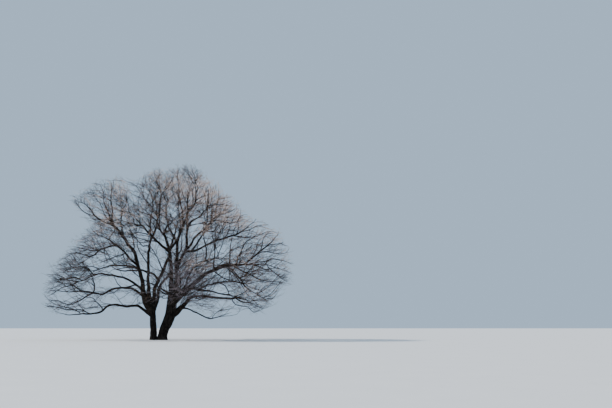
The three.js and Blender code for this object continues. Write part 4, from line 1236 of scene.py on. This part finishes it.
class Finish:
    """A procedural material for one of the tree's surfaces."""

    def __init__(self, name, roughness, specular):
        self.material = bpy.data.materials.new(name)
        self.material.use_nodes = True
        self.tree = self.material.node_tree
        self.shader = self.tree.nodes["Principled BSDF"]
        self.shader.inputs["Roughness"].default_value = roughness
        self.shader.inputs["Specular IOR Level"].default_value = specular

    def node(self, kind, settings, inputs, output=0):
        """Adds a node: its settings first, then values or links for its sockets."""
        node = self.tree.nodes.new(kind)
        for key, value in settings.items():
            setattr(node, key, value)
        for key, value in inputs.items():
            if isinstance(value, Value):
                self.tree.links.new(value.socket, node.inputs[key])
            else:
                node.inputs[key].default_value = value
        return Value(self, node.outputs[output])

    def grain(self, squeeze):
        """The place on the bark, in metres round and along, squeezed along."""
        place = self.node("ShaderNodeAttribute", {"attribute_name": "grain"}, {}, "Vector")
        stretch = {0: place, 1: (1.0, 1.0, squeeze)}
        return self.node("ShaderNodeVectorMath", {"operation": "MULTIPLY"}, stretch)

    def place(self):
        """The place in the tree, in metres."""
        return self.node("ShaderNodeTexCoord", {}, {}, "Object")

    def noise(self, vector, scale, detail, roughness):
        return self.node("ShaderNodeTexNoise", {}, {
            "Vector": vector, "Scale": scale, "Detail": detail, "Roughness": roughness,
        })

    def between(self, value, low, high):
        """How far a value has come from low to high, from 0 to 1, eased."""
        return self.node("ShaderNodeMapRange", {"interpolation_type": "SMOOTHSTEP"}, {
            "Value": value, "From Min": low, "From Max": high,
        })

    def mix(self, share, first, second):
        """A colour between two colours."""
        colours = {"Factor": share, 6: first, 7: second}
        return self.node("ShaderNodeMix", {"data_type": "RGBA"}, colours, 2)

    def wear(self, colour, height=None, strength=0.5, distance=0.01):
        """Puts a colour, and fine relief from a height, on the shader."""
        self.tree.links.new(colour.socket, self.shader.inputs["Base Color"])
        if height is not None:
            relief = {"Strength": strength, "Distance": distance, "Height": height}
            bump = self.node("ShaderNodeBump", {}, relief)
            self.tree.links.new(bump.socket, self.shader.inputs["Normal"])
        return self.material


def bark_finish(name, furrow, ridge, weathered, scale):
    """Bark: long cracks and finer ones across dark plates, worn paler and greyer in places."""
    finish = Finish(name, 0.94, 0.12)
    strips, slivers, flakes = (
        finish.noise(finish.grain(squeeze), lumps * scale, 4.0, 0.6)
        for squeeze, lumps in BARK_GRAIN
    )
    blotches = finish.noise(finish.grain(1.0), 1.7, 3.0, 0.5)
    cracks = strips - 0.5
    slits = slivers - 0.5
    plates = finish.between(cracks * cracks, 0.0, 0.0045)
    splits = finish.between(slits * slits, 0.0, 0.003)
    raised = plates * (splits * 0.5 + 0.5)
    colour = finish.mix(raised * (flakes * 0.6 + 0.6), furrow, ridge)
    worn = finish.between(blotches, 0.46, 0.7) * raised
    colour = finish.mix(worn * 0.7, colour, weathered)
    return finish.wear(colour, raised * 0.8 + flakes * 0.2, 0.8, 0.018)


def branch_finish(name, furrow, ridge, weathered):
    """Thin bark: fine cracks between small plates, worn paler in places."""
    finish = Finish(name, 0.9, 0.14)
    cracks = finish.noise(finish.place(), 17.0, 5.0, 0.65) - 0.5
    plates = finish.between(cracks * cracks, 0.0, 0.006)
    patches = finish.noise(finish.place(), 2.9, 3.0, 0.55)
    colour = finish.mix(finish.between(patches, 0.42, 0.66), ridge, weathered)
    return finish.wear(finish.mix(plates, furrow, colour), plates, 0.7, 0.012)


def twig_finish(name, shade, light):
    """Smooth young bark, a little darker and lighter from place to place."""
    finish = Finish(name, 0.72, 0.2)
    patches = finish.noise(finish.place(), 2.3, 2.0, 0.5)
    return finish.wear(finish.mix(finish.between(patches, 0.35, 0.65), shade, light))


# Stem and bough bark: the bark's own dark colours, made darker still as painted shade, since the stems and
# boughs stand in shade.
stem_bark_with_painted_shade = bark_finish(
    "dark stem bark with painted shade", (0.003, 0.002, 0.002, 1), (0.03, 0.023, 0.018, 1), (0.066, 0.054, 0.046, 1), 1.0)
bough_bark_with_painted_shade = bark_finish(
    "dark bough bark with painted shade", (0.004, 0.003, 0.002, 1), (0.036, 0.026, 0.019, 1), (0.07, 0.054, 0.042, 1), 1.5)
branch_material = branch_finish(
    "branch bark", (0.008, 0.006, 0.005, 1), (0.03, 0.023, 0.018, 1), (0.052, 0.041, 0.033, 1))
twig_materials = [
    twig_finish("dark twigs", (0.016, 0.013, 0.012, 1), (0.028, 0.023, 0.021, 1)),
    twig_finish("brown twigs", (0.09, 0.055, 0.038, 1), (0.14, 0.086, 0.06, 1)),
    twig_finish("violet-grey twigs", (0.2, 0.165, 0.18, 1), (0.33, 0.275, 0.3, 1)),
    # Tan twigs are painted sunlight, and pale tan twigs are a painted highlight.
    twig_finish("twigs tan with painted sunlight", (0.54, 0.37, 0.29, 1), (0.68, 0.49, 0.39, 1)),
    twig_finish("twigs pale with painted highlight", (0.88, 0.66, 0.55, 1), (0.96, 0.76, 0.65, 1)),
]


# The tree.

cad_low, cad_high = (np.array(corner) for corner in cad_box)

barks = {name: stem_bark(name, stem_bark_with_painted_shade) for name in STEMS}
for number, (name, source, *_) in enumerate(LIMBS):
    barks[name] = bough_bark(name, source, bough_bark_with_painted_shade, BARK_SEED + number)
for name, bark in barks.items():
    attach(bark, "root")
    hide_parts(name)

growth = Growth()
for name, source, *_ in LIMBS:
    joint = growth.nearest(lines[name][0]) if source in halves else -1
    growth.add_line(lines[name], halves[name], joint)
drawn_from = len(growth.place)
for number, (source, base, tip, depth, seen) in enumerate(SHOOTS + FORK_SHOOTS):
    line = limb_line(lines[source], depth, seen, SHOOT_SEED + number)
    growth.add_line(line, taper(line, base, tip) * LESSER_FULLER, growth.nearest(line[0]))
held = len(growth.place)

masses = sorted(name for name in frame["nodes"] if name.endswith("_twigs"))
goals = np.vstack([*map(mass_goals, masses), inner_goals()])
inside = np.all((goals > cad_low) & (goals < cad_high), axis=1) & (goals[:, 2] > LOWEST_TWIG)
goals = np.vstack([goals[inside], thicket_goals(), goals_along(np.array(growth.place))])
stem_points = np.vstack([lines[stem][::STEM_LOOK_EVERY] for stem in STEMS])
from_stems = np.linalg.norm(goals[:, None] - stem_points, axis=2).min(axis=1)
goals = goals[from_stems > STEM_CLEAR]
goals = goals[random.permutation(len(goals))]
place, parent = grow(growth.place, growth.parent, goals[::COARSE_EVERY], *COARSE_GROWTH)
place, parent = grow(place, parent, goals, *FINE_GROWTH)
radius, heaviest = thicken(parent, growth.radius)
place = soften(place, parent, heaviest, held)

corners = np.array([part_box(name) for name in masses])
middles = corners.mean(axis=1)
reaches = (corners[:, 1] - corners[:, 0]) / 2
owner = np.argmin(np.linalg.norm((place[:, None] - middles) / reaches, axis=2), axis=1)
tint = deal_tints(place)

boughs, twigs = strands_of_growth(place, parent, radius, heaviest, drawn_from, owner, tint)
bearers = np.flatnonzero((np.arange(len(place)) >= drawn_from) & (radius < SHOOT_BEARER))
add_sprays(twigs, place, parent, heaviest, bearers, owner, tint)

for number, name in enumerate(masses):
    plain = name.removesuffix("_twigs")
    points, radii, first, _ = boughs.of_mass(number)
    if len(points):
        bark = np.zeros(len(points), dtype=int)
        branches = strands_object(
            plain + "_branches", points, radii, first, bark, BRANCH_SIDES, [branch_material])
        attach(branches, "root")
    sprays = strands_object(plain + "_sprays", *twigs.of_mass(number), TWIG_SIDES, twig_materials)
    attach(sprays, "root")
    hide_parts(name)


# Floor, light and camera.

def flat_floor(half):
    """A plain pale floor at ground level."""
    corners = np.array([(-half, -half, 0), (half, -half, 0), (half, half, 0), (-half, half, 0)], dtype=float)
    finish = Finish("pale floor", 0.9, 0.2)
    speckle = finish.noise(finish.place(), 0.6, 2.0, 0.5)
    material = finish.wear(finish.mix(speckle, (0.74, 0.745, 0.755, 1), (0.8, 0.8, 0.805, 1)))
    return mesh_object("floor", corners, [np.arange(4)[None, :]], None, [material])


flat_floor(FLOOR_HALF)

world = bpy.data.worlds.new("soft light")
world.use_nodes = True
world.node_tree.nodes["Background"].inputs["Color"].default_value = SKY_COLOUR
world.node_tree.nodes["Background"].inputs["Strength"].default_value = SKY_STRENGTH
bpy.context.scene.world = world

sun = bpy.data.objects.new("key light", bpy.data.lights.new("key light", "SUN"))
sun.data.energy = SUN_STRENGTH
sun.data.color = SUN_COLOUR
sun.data.angle = math.radians(SUN_SOFTNESS_DEGREES)
sun.rotation_euler = Vector(SUN_WAY).to_track_quat("-Z", "Y").to_euler()
bpy.context.scene.collection.objects.link(sun)

camera = bpy.data.objects.new("camera", bpy.data.cameras.new("camera"))
camera.data.sensor_width = SENSOR_MM
camera.data.lens = SENSOR_MM * LENS_PIXELS / PHOTO_WIDTH
camera.data.clip_end = FURTHEST
camera.location = eye
camera.rotation_euler = (math.radians(90) + TILT, 0, 0)
bpy.context.scene.collection.objects.link(camera)
bpy.context.scene.camera = camera
